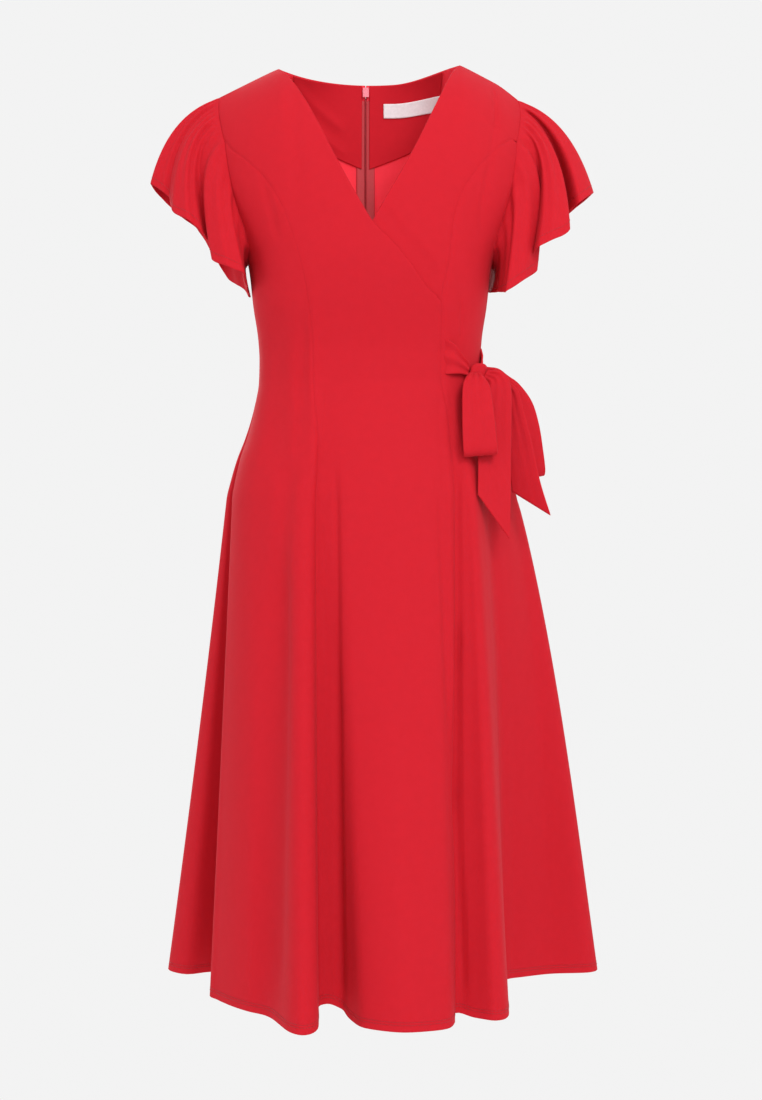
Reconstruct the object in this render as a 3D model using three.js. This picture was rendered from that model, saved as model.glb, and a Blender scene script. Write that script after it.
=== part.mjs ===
// A midi wrap dress as it hangs on its wearer: princess-cut fronts that cross in a V, two back
// panels with a concealed zip, flounced sleeves and a side bow.
// Millimetres, +Z up, the front faces -Y. The origin lies between the two ends of the neck opening
// on top of the shoulders, where the wearer holds the dress up.
import * as THREE from "three";

// Driving dimensions
const CLOTH = 1.5; // one layer of the crepe
const TIE_CLOTH = 2.0; // the tie is a turned tube, two layers pressed flat
const SEAM = 0.3; // clear space between two pieces at a seam
const HEM_LEVEL = -1076; // hem below the shoulder
const ARM_LEVEL = -240; // bottom of the armhole
const HIP_LEVEL = -516; // below here the skirt hangs free
const FOLD_LEVEL = -380; // where the skirt folds begin
const NECK_HALF = 108; // half the neck opening on the shoulder line
const NECK_BACK = 97; // the neck edge at centre back, behind the origin
const SHOULDER_SLOPE = 0.52; // fall of the shoulder line for each mm outwards
const LEFT_LIFT = { high: 8, from: 35, run: 70, keep: 150, fade: 45 }; // the left shoulder sits higher
const SHOULDER_ROUND = { front: 40, back: 30 }; // how soon the cloth turns down off the shoulder
const SQUARENESS = 0.06; // how far the rings fill out towards a rounded rectangle
const WRAP_LEVEL = -289; // where the wrap edge meets the princess seam
const UNDER_END = -304; // lower edge of the under front, sewn down behind the over front
const LAP = 2.1; // how far the under front lies behind the over front
const RIGHT_FLARE = 11.5; // extra fullness halfway down the skirt's left-hand flare
const ZIP_END = -410; // bottom of the zip opening
const ZIP_HALF = 0.9; // half the space between the two back panels along the zip

// Rings of the body of the dress. wide: half width; front, back: depth from the middle;
// middle: where the ring is widest, in y.
const SECTIONS = [
  { level: 0, wide: 190, front: 104, back: 92, middle: 12 },
  { level: -60, wide: 187, front: 105, back: 95, middle: 10 },
  { level: -105, wide: 183, front: 107, back: 98, middle: 7 },
  { level: -155, wide: 175, front: 108, back: 98, middle: 4 },
  { level: -208, wide: 156, front: 109, back: 95, middle: 2 },
  { level: -240, wide: 144, front: 108, back: 92, middle: 0 },
  { level: -289, wide: 138, front: 102, back: 87, middle: 0 },
  { level: -326, wide: 132.5, front: 95, back: 84, middle: 0 },
  { level: -350, wide: 131, front: 92, back: 84, middle: 0 },
  { level: -374, wide: 131.5, front: 92, back: 86, middle: 0 },
  { level: -397, wide: 134, front: 93, back: 90, middle: 0 },
  { level: -421, wide: 137.5, front: 95, back: 95, middle: 0 },
  { level: -445, wide: 143, front: 97, back: 100, middle: 0 },
  { level: -468, wide: 150, front: 99, back: 104, middle: 0 },
  { level: -492, wide: 155, front: 101, back: 107, middle: 0 },
  { level: -516, wide: 158.5, front: 103, back: 109, middle: 0 },
  { level: -700, wide: 159, front: 104, back: 110, middle: 0 },
];

// Skirt folds, once round the hem from the right side seam over the front. angle: where the fold
// leaves the hip ring, in degrees from the front centre; x, y: the hem there.
const FOLDS = [
  { angle: -93, x: -168, y: 14 },
  { angle: -90, x: -171, y: -46 },
  { angle: -85, x: -186, y: -98 },
  { angle: -78, x: -178, y: -119 },
  { angle: -68, x: -161, y: -149 },
  { angle: -58, x: -144, y: -172 },
  { angle: -49, x: -127, y: -192 },
  { angle: -41, x: -113, y: -226 },
  { angle: -35, x: -98, y: -262 },
  { angle: -30, x: -83, y: -274 },
  { angle: -26.8, x: -68.5, y: -258 },
  { angle: -24, x: -66.6, y: -212 },
  { angle: -22.8, x: -59.3, y: -206 },
  { angle: -21.4, x: -48.7, y: -206 },
  { angle: -19.8, x: -39.3, y: -212 },
  { angle: -17.8, x: -30.9, y: -228 },
  { angle: -12, x: -18, y: -251 },
  { angle: 3, x: 16, y: -269 },
  { angle: 15, x: 48, y: -266 },
  { angle: 23, x: 69, y: -256 },
  { angle: 27, x: 77, y: -236 },
  { angle: 34, x: 80.5, y: -212 },
  { angle: 36, x: 92, y: -213 },
  { angle: 37.8, x: 105, y: -219 },
  { angle: 39.3, x: 122, y: -228 },
  { angle: 41, x: 137, y: -213 },
  { angle: 44.3, x: 144, y: -154 },
  { angle: 49.2, x: 150, y: -62 },
  { angle: 57, x: 160, y: -43 },
  { angle: 67, x: 178, y: -34 },
  { angle: 78, x: 214, y: -20 },
  { angle: 87, x: 262, y: -15 },
  { angle: 92, x: 272, y: 12 },
  { angle: 98, x: 248, y: 58 },
  { angle: 104, x: 206, y: 74 },
  { angle: 112, x: 186, y: 100 },
  { angle: 122, x: 203, y: 158 },
  { angle: 130, x: 186, y: 196 },
  { angle: 138, x: 140, y: 186 },
  { angle: 146, x: 102, y: 176 },
  { angle: 155, x: 86, y: 222 },
  { angle: 163, x: 62, y: 254 },
  { angle: 172, x: 26, y: 240 },
  { angle: 180, x: 0, y: 204 },
  { angle: 188, x: -30, y: 214 },
  { angle: 196, x: -58, y: 250 },
  { angle: 204, x: -92, y: 246 },
  { angle: 212, x: -112, y: 198 },
  { angle: 220, x: -134, y: 160 },
  { angle: 229, x: -168, y: 176 },
  { angle: 238, x: -204, y: 154 },
  { angle: 246, x: -198, y: 112 },
  { angle: 253, x: -184, y: 82 },
  { angle: 258, x: -214, y: 62 },
  { angle: 262, x: -240, y: 32 },
  { angle: 264.5, x: -218, y: 4 },
  { angle: 266, x: -190, y: 14 },
];
// Where the hem rises between folds: at an angle, by a height, spread over some degrees.
const HEM_RISES = [
  { angle: -22.6, high: 15, wide: 2.9 },
  { angle: 34.6, high: 4.5, wide: 1.8 },
];

// Seams and edges, as distances from the centre plane for each level
const PRINCESS = [
  { level: -75, right: 170, left: 164 },
  { level: -92, right: 162.5, left: 152.5 },
  { level: -112, right: 149, left: 137.5 },
  { level: -140, right: 129.5, left: 117.5 },
  { level: -170, right: 112, left: 99.5 },
  { level: -200, right: 98.5, left: 90 },
  { level: -246, right: 84, left: 85 },
  { level: -289, right: 75.5, left: 77 },
  { level: -330, right: 70, left: 77 },
  { level: -374, right: 68.5, left: 77 },
  { level: -421, right: 68, left: 85 },
  { level: -468, right: 66, left: 90 },
  { level: -516, right: 64, left: 93 },
];
const NECK_EDGE = [
  { level: 0, over: -108, under: 108 },
  { level: -24, over: -95, under: 94 },
  { level: -62, over: -76, under: 74 },
  { level: -126, over: -46, under: 41 },
  { level: -184, over: -15, under: 8 },
  { level: -205, over: -2, under: -4 },
  { level: -225, over: 18, under: -20 },
  { level: -249, over: 39, under: -40 },
  { level: -277, over: 60, under: -62 },
  { level: -289, over: 73, under: -72 },
  { level: -304, over: 75, under: -72 },
];
const ARMHOLE = [
  { level: 0, front: 65, back: 65 },
  { level: -18, front: 66, back: 66.5 },
  { level: -56, front: 63.5, back: 65 },
  { level: -75, front: 61.8, back: 63.5 },
  { level: -140, front: 61.4, back: 62.5 },
  { level: -200, front: 63.5, back: 65 },
  { level: -222, front: 67, back: 69 },
  { level: -233, front: 76, back: 77 },
  { level: -240, front: 90, back: 90 },
];

// Sleeve flounces, once round from the underarm over the front. from: place on the armhole, as
// depth below the shoulder, negative in front; out, y, z: the hem.
const FLOUNCE_RIGHT = [
  { from: -240, out: 143, y: 0, z: -274 },
  { from: -222, out: 144, y: -32, z: -270 },
  { from: -190, out: 147, y: -60, z: -264 },
  { from: -154, out: 148, y: -74, z: -259 },
  { from: -116, out: 166, y: -79, z: -252 },
  { from: -80, out: 184, y: -65, z: -243 },
  { from: -54, out: 186, y: -42, z: -224 },
  { from: -39, out: 199, y: -52, z: -205 },
  { from: -28, out: 214, y: -53, z: -194 },
  { from: -19, out: 231, y: -38, z: -183 },
  { from: -12, out: 236, y: -12, z: -163 },
  { from: -5, out: 246, y: -4, z: -152 },
  { from: 0, out: 260, y: 8, z: -142 },
  { from: 6, out: 247, y: 32, z: -155 },
  { from: 13, out: 226, y: 35, z: -174 },
  { from: 22, out: 226, y: 58, z: -172 },
  { from: 35, out: 206, y: 72, z: -184 },
  { from: 52, out: 188, y: 60, z: -213 },
  { from: 80, out: 184, y: 78, z: -221 },
  { from: 122, out: 168, y: 84, z: -243 },
  { from: 170, out: 153, y: 60, z: -255 },
  { from: 222, out: 142, y: 30, z: -271 },
];
const FLOUNCE_LEFT = [
  { from: -240, out: 144, y: 0, z: -268 },
  { from: -222, out: 147, y: -34, z: -272 },
  { from: -190, out: 150, y: -62, z: -276 },
  { from: -152, out: 153, y: -77, z: -277 },
  { from: -112, out: 173, y: -72, z: -264 },
  { from: -80, out: 192, y: -50, z: -249 },
  { from: -56, out: 186, y: -46, z: -234 },
  { from: -41, out: 190, y: -74, z: -225 },
  { from: -30, out: 209, y: -74, z: -216 },
  { from: -20, out: 229, y: -62, z: -203 },
  { from: -13, out: 231, y: -14, z: -178 },
  { from: -7, out: 245, y: -40, z: -166 },
  { from: 0, out: 267, y: -6, z: -149 },
  { from: 6, out: 252, y: 28, z: -160 },
  { from: 13, out: 228, y: 32, z: -180 },
  { from: 22, out: 228, y: 58, z: -184 },
  { from: 35, out: 207, y: 70, z: -196 },
  { from: 52, out: 190, y: 58, z: -226 },
  { from: 80, out: 184, y: 78, z: -238 },
  { from: 122, out: 168, y: 82, z: -248 },
  { from: 170, out: 154, y: 58, z: -258 },
  { from: 222, out: 142, y: 32, z: -262 },
];
const SLEEVE = { reach: 52, tight: 13, fall: -0.54, gap: 0.9, spring: 0.3 };

// Bow. Each ribbon follows its points; width: across the ribbon; turn: where its width points,
// in degrees from +X towards -Y; lean: that direction's rise, in degrees.
const STEM = [
  { x: 78.5, y: -82.9, z: -352, width: 43, turn: 90, lean: 88 },
  { x: 92, y: -78.5, z: -356, width: 33, turn: 90, lean: 88 },
  { x: 101, y: -73, z: -361, width: 22, turn: 90, lean: 86 },
  { x: 109.7, y: -67.6, z: -366.5, width: 14, turn: 90, lean: 84 },
];
const LOOP_FRONT = [
  { x: 117.9, y: -69.3, z: -371.7, width: 14, turn: -8, lean: 0 },
  { x: 116.5, y: -82, z: -378, width: 22, turn: -8, lean: 0 },
  { x: 117, y: -89, z: -391, width: 31, turn: -8, lean: 2 },
  { x: 118, y: -99, z: -425, width: 36, turn: -8, lean: 4 },
  { x: 119, y: -105.5, z: -453, width: 38, turn: -8, lean: 5 },
  { x: 120, y: -105, z: -464, width: 38, turn: -8, lean: 5 },
  { x: 120.5, y: -98.5, z: -467, width: 38, turn: -8, lean: 5 },
  { x: 121, y: -94, z: -457, width: 37, turn: -8, lean: 4 },
  { x: 121, y: -88, z: -430, width: 34, turn: -8, lean: 3 },
  { x: 121, y: -81, z: -403, width: 24, turn: -8, lean: 1 },
  { x: 121, y: -75, z: -388, width: 15, turn: -8, lean: 0 },
];
const TAIL_FRONT = [
  { x: 130.8, y: -60.3, z: -371.6, width: 11, turn: -25, lean: 60 },
  { x: 142.5, y: -65, z: -377, width: 23, turn: -20, lean: 38 },
  { x: 144, y: -69, z: -391, width: 32, turn: -14, lean: 14 },
  { x: 141.5, y: -74, z: -420, width: 36, turn: -12, lean: 3 },
  { x: 139, y: -80, z: -460, width: 38, turn: -12, lean: 0 },
  { x: 137.5, y: -90, z: -500, width: 38, turn: -12, lean: 0 },
  { x: 135.5, y: -99, z: -537, width: 37, turn: -12, lean: 0 },
];
const LOOP_SIDE = [
  { x: 136.2, y: -51.2, z: -364, width: 12, turn: -20, lean: 62 },
  { x: 142.6, y: -49.4, z: -371, width: 16, turn: -20, lean: 56 },
  { x: 151.5, y: -46.4, z: -380, width: 22, turn: -20, lean: 46 },
  { x: 161.5, y: -45.5, z: -390, width: 28, turn: -20, lean: 36 },
  { x: 173.5, y: -43, z: -409, width: 33, turn: -20, lean: 24 },
  { x: 180, y: -41, z: -434, width: 36, turn: -20, lean: 14 },
  { x: 183.5, y: -39, z: -460, width: 38, turn: -20, lean: 10 },
  { x: 186.5, y: -37, z: -482, width: 38, turn: -20, lean: 10 },
  { x: 186.5, y: -31.5, z: -490, width: 38, turn: -20, lean: 10 },
  { x: 185, y: -26, z: -484, width: 38, turn: -20, lean: 10 },
  { x: 181, y: -25, z: -458, width: 37, turn: -20, lean: 11 },
  { x: 172, y: -27, z: -426, width: 33, turn: -20, lean: 20 },
  { x: 162, y: -31.5, z: -404, width: 27, turn: -20, lean: 32 },
  { x: 151, y: -38, z: -386, width: 19, turn: -20, lean: 44 },
  { x: 141, y: -44.5, z: -374, width: 13, turn: -20, lean: 54 },
];
const TAIL_SIDE = [
  { x: 133.8, y: -57.4, z: -376.5, width: 11, turn: 30, lean: 30 },
  { x: 149, y: -55.5, z: -383, width: 16, turn: 28, lean: 24 },
  { x: 161, y: -57, z: -394, width: 22, turn: 22, lean: 16 },
  { x: 167.5, y: -59, z: -414, width: 31, turn: 18, lean: 8 },
  { x: 173, y: -61, z: -444, width: 38, turn: 14, lean: 3 },
  { x: 178.5, y: -62, z: -482, width: 42, turn: 12, lean: 0 },
  { x: 184, y: -62, z: -521, width: 43, turn: 12, lean: 0 },
];
const STEM_SIDE = [
  { x: 133, y: -5, z: -350, width: 28, turn: 90, lean: 88 },
  { x: 131.4, y: -21.5, z: -352.5, width: 25, turn: 90, lean: 88 },
  { x: 131.5, y: -31.5, z: -358, width: 20, turn: 90, lean: 88 },
  { x: 126.4, y: -48.8, z: -368.6, width: 12, turn: 90, lean: 86 },
];
const KNOT = { x: 121.5, y: -59.1, z: -371, wide: 11, deep: 7.5, high: 12, lean: 0.25, skew: 0.5 };

// Small fittings at the centre back
const FACING = { thick: 1.0, under: 2.9, edge: 5, centre: -104, right: 0.42, left: 0.38, far: 92 };
const TAPE = { thick: 0.8, under: 1.8, from: 1.3, to: 11 };
const LABEL = { thick: 1.0, under: 4.6, near: 23, far: 91, top: -22, high: 17 };
const SLIDER = { wide: 8, high: 11.5, deep: 3.0, top: -3, y: 95.8 };
const BAIL = { wide: 1.0, bar: 1.2, out: 104.8, top: -4, low: -10.6 };
const PULL = { wide: 5.2, high: 19, thick: 1.2, bar: 1.2, eye: 3.6, slot: 2.2 };
const PULL_PIVOT = { y: 102.5, z: -9.6 };

const COLOURS = { cloth: 0xd42030, facing: 0xc81c2c, label: 0xf2eef0, zip: 0xe0506a, tape: 0xb81c30 };

const radians = THREE.MathUtils.degToRad;
const clamp = THREE.MathUtils.clamp;

function smooth(t) {
  const s = clamp(t, 0, 1);
  return s * s * (3 - 2 * s);
}

// Reads a named column of a table at any value of its key, with a monotone cubic curve.
function read(table, key, column, at) {
  const rising = table[table.length - 1][key] > table[0][key] ? 1 : -1;
  const xs = table.map((row) => row[key] * rising);
  const ys = table.map((row) => row[column]);
  const x = clamp(at * rising, xs[0], xs[xs.length - 1]);
  let i = 0;
  while (i < xs.length - 2 && x > xs[i + 1]) i += 1;
  const slope = (j) => (ys[j + 1] - ys[j]) / (xs[j + 1] - xs[j]);
  const tangent = (j) => {
    if (j === 0) return slope(0);
    if (j === xs.length - 1) return slope(j - 1);
    const [a, b] = [slope(j - 1), slope(j)];
    return a * b <= 0 ? 0 : (2 * a * b) / (a + b);
  };
  const h = xs[i + 1] - xs[i];
  const t = (x - xs[i]) / h;
  const [t2, t3] = [t * t, t * t * t];
  return (
    ys[i] * (2 * t3 - 3 * t2 + 1) +
    ys[i + 1] * (3 * t2 - 2 * t3) +
    tangent(i) * h * (t3 - 2 * t2 + t) +
    tangent(i + 1) * h * (t3 - t2)
  );
}

// Reads a column at a fraction of the way along an open or closed row of points (Catmull-Rom).
function along(table, column, at, closed = false) {
  const n = table.length;
  const i = closed ? Math.floor(at) : clamp(Math.floor(at), 0, n - 2);
  const t = at - i;
  const value = (j) => {
    if (closed) return table[((j % n) + n) % n][column];
    if (j < 0) return 2 * table[0][column] - table[1][column];
    if (j >= n) return 2 * table[n - 1][column] - table[n - 2][column];
    return table[j][column];
  };
  const [a, b, c, d] = [value(i - 1), value(i), value(i + 1), value(i + 2)];
  return b + 0.5 * t * (c - a + t * (2 * a - 5 * b + 4 * c - d + t * (3 * (b - c) + d - a)));
}

// The shoulder line's height at a distance x from the centre, with a soft start at the neck.
function shoulderLine(x) {
  const beyond = Math.abs(x) - NECK_HALF + 3;
  const { high, from, run, keep, fade } = LEFT_LIFT;
  const lift = high * smooth((x - from) / run) * (1 - smooth((x - keep) / fade));
  return (-SHOULDER_SLOPE * (beyond + Math.sqrt(beyond * beyond + 64))) / 2 + lift;
}

// The row of the fold table for an angle at the hip, as a fractional index.
const FOLD_INDEX = FOLDS.map((fold, index) => ({ angle: fold.angle, index }));
FOLD_INDEX.push({ angle: FOLDS[0].angle + 360, index: FOLDS.length });
function foldIndex(angle) {
  const turned = angle < FOLDS[0].angle ? angle + 360 : angle;
  return read(FOLD_INDEX, "angle", "index", turned);
}

// How much the hem is lifted where the cloth turns in between two folds.
function hemRise(angle) {
  return HEM_RISES.reduce((sum, rise) => {
    const off = (angle - rise.angle) / rise.wide;
    return sum + rise.high * Math.exp(-off * off);
  }, 0);
}

function foldWeight(level) {
  const t = clamp((FOLD_LEVEL - level) / (FOLD_LEVEL - HEM_LEVEL), 0, 1);
  return t ** 1.15;
}

// A point of the dress's outer face. angle: degrees from the front centre, positive to the
// wearer's left; level: height, followed up over the shoulder by the upper rows.
function dressPoint(angle, level) {
  const a = radians(angle);
  const front = Math.cos(a) >= 0;
  const fill = 1 + SQUARENESS * Math.sin(2 * a) ** 2;
  const wide = read(SECTIONS, "level", "wide", level);
  const middle = read(SECTIONS, "level", "middle", level);
  const depth = read(SECTIONS, "level", front ? "front" : "back", level);
  const x = wide * Math.sin(a) * fill;
  const follow = smooth(1 - level / ARM_LEVEL);
  const z = level + follow * shoulderLine(x);
  const below = Math.max(0, shoulderLine(x) - z);
  const edge = Math.min(1, Math.abs(x) / NECK_HALF);
  const start = front ? middle : middle + (NECK_BACK - middle) * (1 - edge * edge) ** 0.75;
  const full = middle - depth * Math.cos(a) * fill;
  const turned = 1 - Math.exp(-below / SHOULDER_ROUND[front ? "front" : "back"]);
  const point = new THREE.Vector3(x, start + (full - start) * turned, z);
  const weight = foldWeight(level);
  if (weight > 0) {
    const index = foldIndex(angle);
    point.x += weight * (along(FOLDS, "x", index, true) - point.x);
    point.y += weight * (along(FOLDS, "y", index, true) - point.y);
    point.z += weight * hemRise(angle);
    const drop = clamp((HIP_LEVEL - level) / (HIP_LEVEL - HEM_LEVEL), 0, 1);
    const side = smooth((Math.sin(a) - 0.5) / 0.5);
    point.x += RIGHT_FLARE * side * Math.sin(Math.PI * drop ** 0.75);
  }
  return point;
}

function dressNormal(angle, level) {
  const [da, dl] = [0.25, 1.0];
  const across = dressPoint(angle + da, level).sub(dressPoint(angle - da, level));
  const up = dressPoint(angle, Math.min(level + dl, 0)).sub(dressPoint(angle, level - dl));
  return across.cross(up).normalize();
}

// The angle at which the front of a ring passes a distance x from the centre.
function angleAt(x, level) {
  let [low, high] = [-90, 90];
  for (let i = 0; i < 40; i += 1) {
    const middle = (low + high) / 2;
    const a = radians(middle);
    const reach = read(SECTIONS, "level", "wide", level) * Math.sin(a);
    if (reach * (1 + SQUARENESS * Math.sin(2 * a) ** 2) < x) low = middle;
    else high = middle;
  }
  return (low + high) / 2;
}

// Degrees that one millimetre of the dress spans along a ring.
function degreesPerMm(angle, level) {
  const step = dressPoint(angle + 0.2, level).distanceTo(dressPoint(angle - 0.2, level));
  return 0.4 / Math.max(step, 0.05);
}

function geometryOf(positions, triangles) {
  const geometry = new THREE.BufferGeometry();
  geometry.setAttribute("position", new THREE.Float32BufferAttribute(positions, 3));
  geometry.setIndex(triangles);
  geometry.computeVertexNormals();
  return geometry;
}

// A closed wall over a grid. outer(column, row) gives a point of the outer face and the direction
// its thickness takes away from it; closed joins the last column to the first.
function wallGeometry(columns, rows, thickness, outer, closed = false) {
  const width = closed ? columns : columns + 1;
  const positions = [];
  const faces = [[], []];
  for (let row = 0; row <= rows; row += 1) {
    for (let column = 0; column < width; column += 1) {
      const { point, inward } = outer(column, row);
      faces[0].push(point);
      faces[1].push(point.clone().addScaledVector(inward, thickness));
    }
  }
  for (const side of faces) for (const p of side) positions.push(p.x, p.y, p.z);
  const shift = faces[0].length;
  const at = (column, row) => row * width + (column % width);
  const triangles = [];
  const quad = (a, b, c, d) => triangles.push(a, b, c, a, c, d);
  for (let row = 0; row < rows; row += 1) {
    for (let column = 0; column < columns; column += 1) {
      const [a, b] = [at(column, row), at(column + 1, row)];
      const [c, d] = [at(column + 1, row + 1), at(column, row + 1)];
      quad(a, b, c, d);
      quad(shift + a, shift + d, shift + c, shift + b);
    }
  }
  for (let column = 0; column < columns; column += 1) {
    const [a, b] = [at(column, 0), at(column + 1, 0)];
    const [c, d] = [at(column, rows), at(column + 1, rows)];
    quad(b, a, shift + a, shift + b);
    quad(c, d, shift + d, shift + c);
  }
  if (!closed) {
    for (let row = 0; row < rows; row += 1) {
      const [a, b] = [at(0, row), at(0, row + 1)];
      const [c, d] = [at(columns, row), at(columns, row + 1)];
      quad(a, b, shift + b, shift + a);
      quad(c, shift + c, shift + d, d);
    }
  }
  return geometryOf(positions, outwards(positions, triangles));
}

// Turns every triangle round if the closed mesh is inside out.
function outwards(positions, triangles) {
  const corner = (i) => new THREE.Vector3().fromArray(positions, triangles[i] * 3);
  let volume = 0;
  for (let i = 0; i < triangles.length; i += 3) {
    volume += corner(i).dot(corner(i + 1).cross(corner(i + 2)));
  }
  if (volume > 0) return triangles;
  const turned = [];
  for (let i = 0; i < triangles.length; i += 3) {
    turned.push(triangles[i], triangles[i + 2], triangles[i + 1]);
  }
  return turned;
}

// Spreads columns between two hip angles so that both the hem and the hip are followed.
function spreadColumns(start, end, columns) {
  const steps = 240;
  const lengths = [0];
  for (let i = 1; i <= steps; i += 1) {
    const [a, b] = [start + ((end - start) * (i - 1)) / steps, start + ((end - start) * i) / steps];
    const hem = dressPoint(a, HEM_LEVEL).distanceTo(dressPoint(b, HEM_LEVEL));
    const hip = dressPoint(a, FOLD_LEVEL).distanceTo(dressPoint(b, FOLD_LEVEL));
    lengths.push(lengths[i - 1] + hem + 0.8 * hip);
  }
  const shares = [];
  for (let column = 0, i = 0; column <= columns; column += 1) {
    const target = (lengths[steps] * column) / columns;
    while (i < steps - 1 && lengths[i + 1] < target) i += 1;
    shares.push((i + (target - lengths[i]) / (lengths[i + 1] - lengths[i])) / steps);
  }
  return shares;
}

const LEVELS = [
  0, -7, -18, -36, -56, -75, -92, -112, -140, -170, -200, -222, -233, -240, -262, -276, -289, -320, -350, -380,
  -410, -440, -475, -516, -580, -650, -730, -810, -890, -970, -1030, -1076,
];

// One panel of the dress: left and right give its edges, as angles, for each level.
// depthAt moves its outer face inwards, and top is mitred where it meets a shoulder seam.
function panel({ levels, left, right, columns, depthAt, thickness = CLOTH, spread, mitre = true }) {
  const shares = spread ?? spreadColumns(left(HEM_LEVEL), right(HEM_LEVEL), columns);
  return wallGeometry(shares.length - 1, levels.length - 1, thickness, (column, row) => {
    const level = levels[row];
    const [a, b] = [left(level), right(level)];
    const [start, end] = [
      a + (SEAM / 2) * degreesPerMm(a, level),
      b - (SEAM / 2) * degreesPerMm(b, level),
    ];
    const angle = start + (end - start) * shares[column];
    const last = shares.length - 1;
    const turn = column === 0 ? a : column === last ? b : angle;
    const point = dressPoint(angle, level);
    const normal = dressNormal(turn, level);
    if (mitre && level === 0 && Math.abs(point.x) > NECK_HALF - 1) {
      normal.y = 0;
      normal.normalize();
      point.y += Math.cos(radians(angle)) >= 0 ? -SEAM / 2 : SEAM / 2;
    }
    const inward = normal.negate();
    if (depthAt) point.addScaledVector(inward, depthAt(point.x, level));
    return { point, inward };
  });
}

const armAngle = (level, face) =>
  level <= ARM_LEVEL ? 90 : read(ARMHOLE, "level", face, level);

// Seam angles, on the wearer's right (negative) and left, for each level
const HIP_RIGHT = FOLDS[11].angle;
const HIP_LEFT = FOLDS[21].angle;
const SIDE_RIGHT = FOLDS[0].angle;
const SIDE_LEFT = FOLDS[32].angle;

function settle(level, upper, hip) {
  const share = smooth((FOLD_LEVEL - level) / (FOLD_LEVEL - HIP_LEVEL));
  return upper + (hip - upper) * share;
}
function princess(level, side) {
  const upper = Math.max(level, HIP_LEVEL);
  const x = read(PRINCESS, "level", side, upper);
  if (side === "right") return settle(level, -angleAt(x, upper), HIP_RIGHT);
  return settle(level, angleAt(x, upper), HIP_LEFT);
}
const sideSeam = (level, side) =>
  side === "right" ? settle(level, -90, SIDE_RIGHT) : settle(level, 90, SIDE_LEFT);

function overLeft(level) {
  return level > PRINCESS[0].level ? -armAngle(level, "front") : princess(level, "right");
}
function overRight(level) {
  if (level <= WRAP_LEVEL) return princess(level, "left");
  return angleAt(read(NECK_EDGE, "level", "over", level), level);
}
function underLeft(level) {
  return angleAt(read(NECK_EDGE, "level", "under", level), level);
}
function underRight(level) {
  return level > PRINCESS[0].level ? armAngle(level, "front") : princess(level, "left");
}
// The under front slips behind the over front as it nears its edge.
function lapDepth(x, level) {
  const edge = read(NECK_EDGE, "level", "over", Math.max(level, WRAP_LEVEL));
  return LAP * smooth((edge + 34 - x) / 16);
}

function fronts() {
  const lower = LEVELS.filter((level) => level <= PRINCESS[0].level);
  const under = [...LEVELS.filter((level) => level > UNDER_END), UNDER_END];
  return {
    front_over: panel({ levels: LEVELS, left: overLeft, right: overRight, columns: 17 }),
    front_under: panel({
      levels: under,
      left: underLeft,
      right: underRight,
      spread: Array.from({ length: 11 }, (_, i) => i / 10),
      depthAt: lapDepth,
    }),
    side_front_right: panel({
      levels: lower,
      left: (level) => -armAngleBelow(level, "right"),
      right: (level) => princess(level, "right"),
      columns: 14,
    }),
    side_front_left: panel({
      levels: lower,
      left: (level) => princess(level, "left"),
      right: (level) => armAngleBelow(level, "left"),
      columns: 16,
    }),
  };
}
// The outer edge of a side panel: the armhole above the underarm, the side seam below.
function armAngleBelow(level, side) {
  if (level > ARM_LEVEL) return armAngle(level, "front");
  return Math.abs(sideSeam(level, side));
}

function zipEdge(level) {
  const half = level >= ZIP_END ? ZIP_HALF : SEAM / 2;
  return half * degreesPerMm(180, level);
}
function backs() {
  const outer = (level, side) => {
    if (level > ARM_LEVEL) return armAngle(level, "back");
    return 180 - (side === "left" ? sideSeam(level, "left") : -sideSeam(level, "right"));
  };
  return {
    back_left: panel({
      levels: LEVELS,
      left: (level) => 180 - outer(level, "left"),
      right: (level) => 180 - zipEdge(level),
      columns: 16,
    }),
    back_right: panel({
      levels: LEVELS,
      left: (level) => 180 + zipEdge(level),
      right: (level) => 180 + outer(level, "right"),
      columns: 17,
    }),
  };
}

// The edge of an armhole on one side (-1 the wearer's right, 1 the left). depth: distance below
// the shoulder, negative in front.
function armPoint(depth, side) {
  const level = -Math.abs(depth);
  const angle = depth < 0 ? armAngle(level, "front") : 180 - armAngle(level, "back");
  return { point: dressPoint(side * angle, level), normal: dressNormal(side * angle, level) };
}

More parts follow.
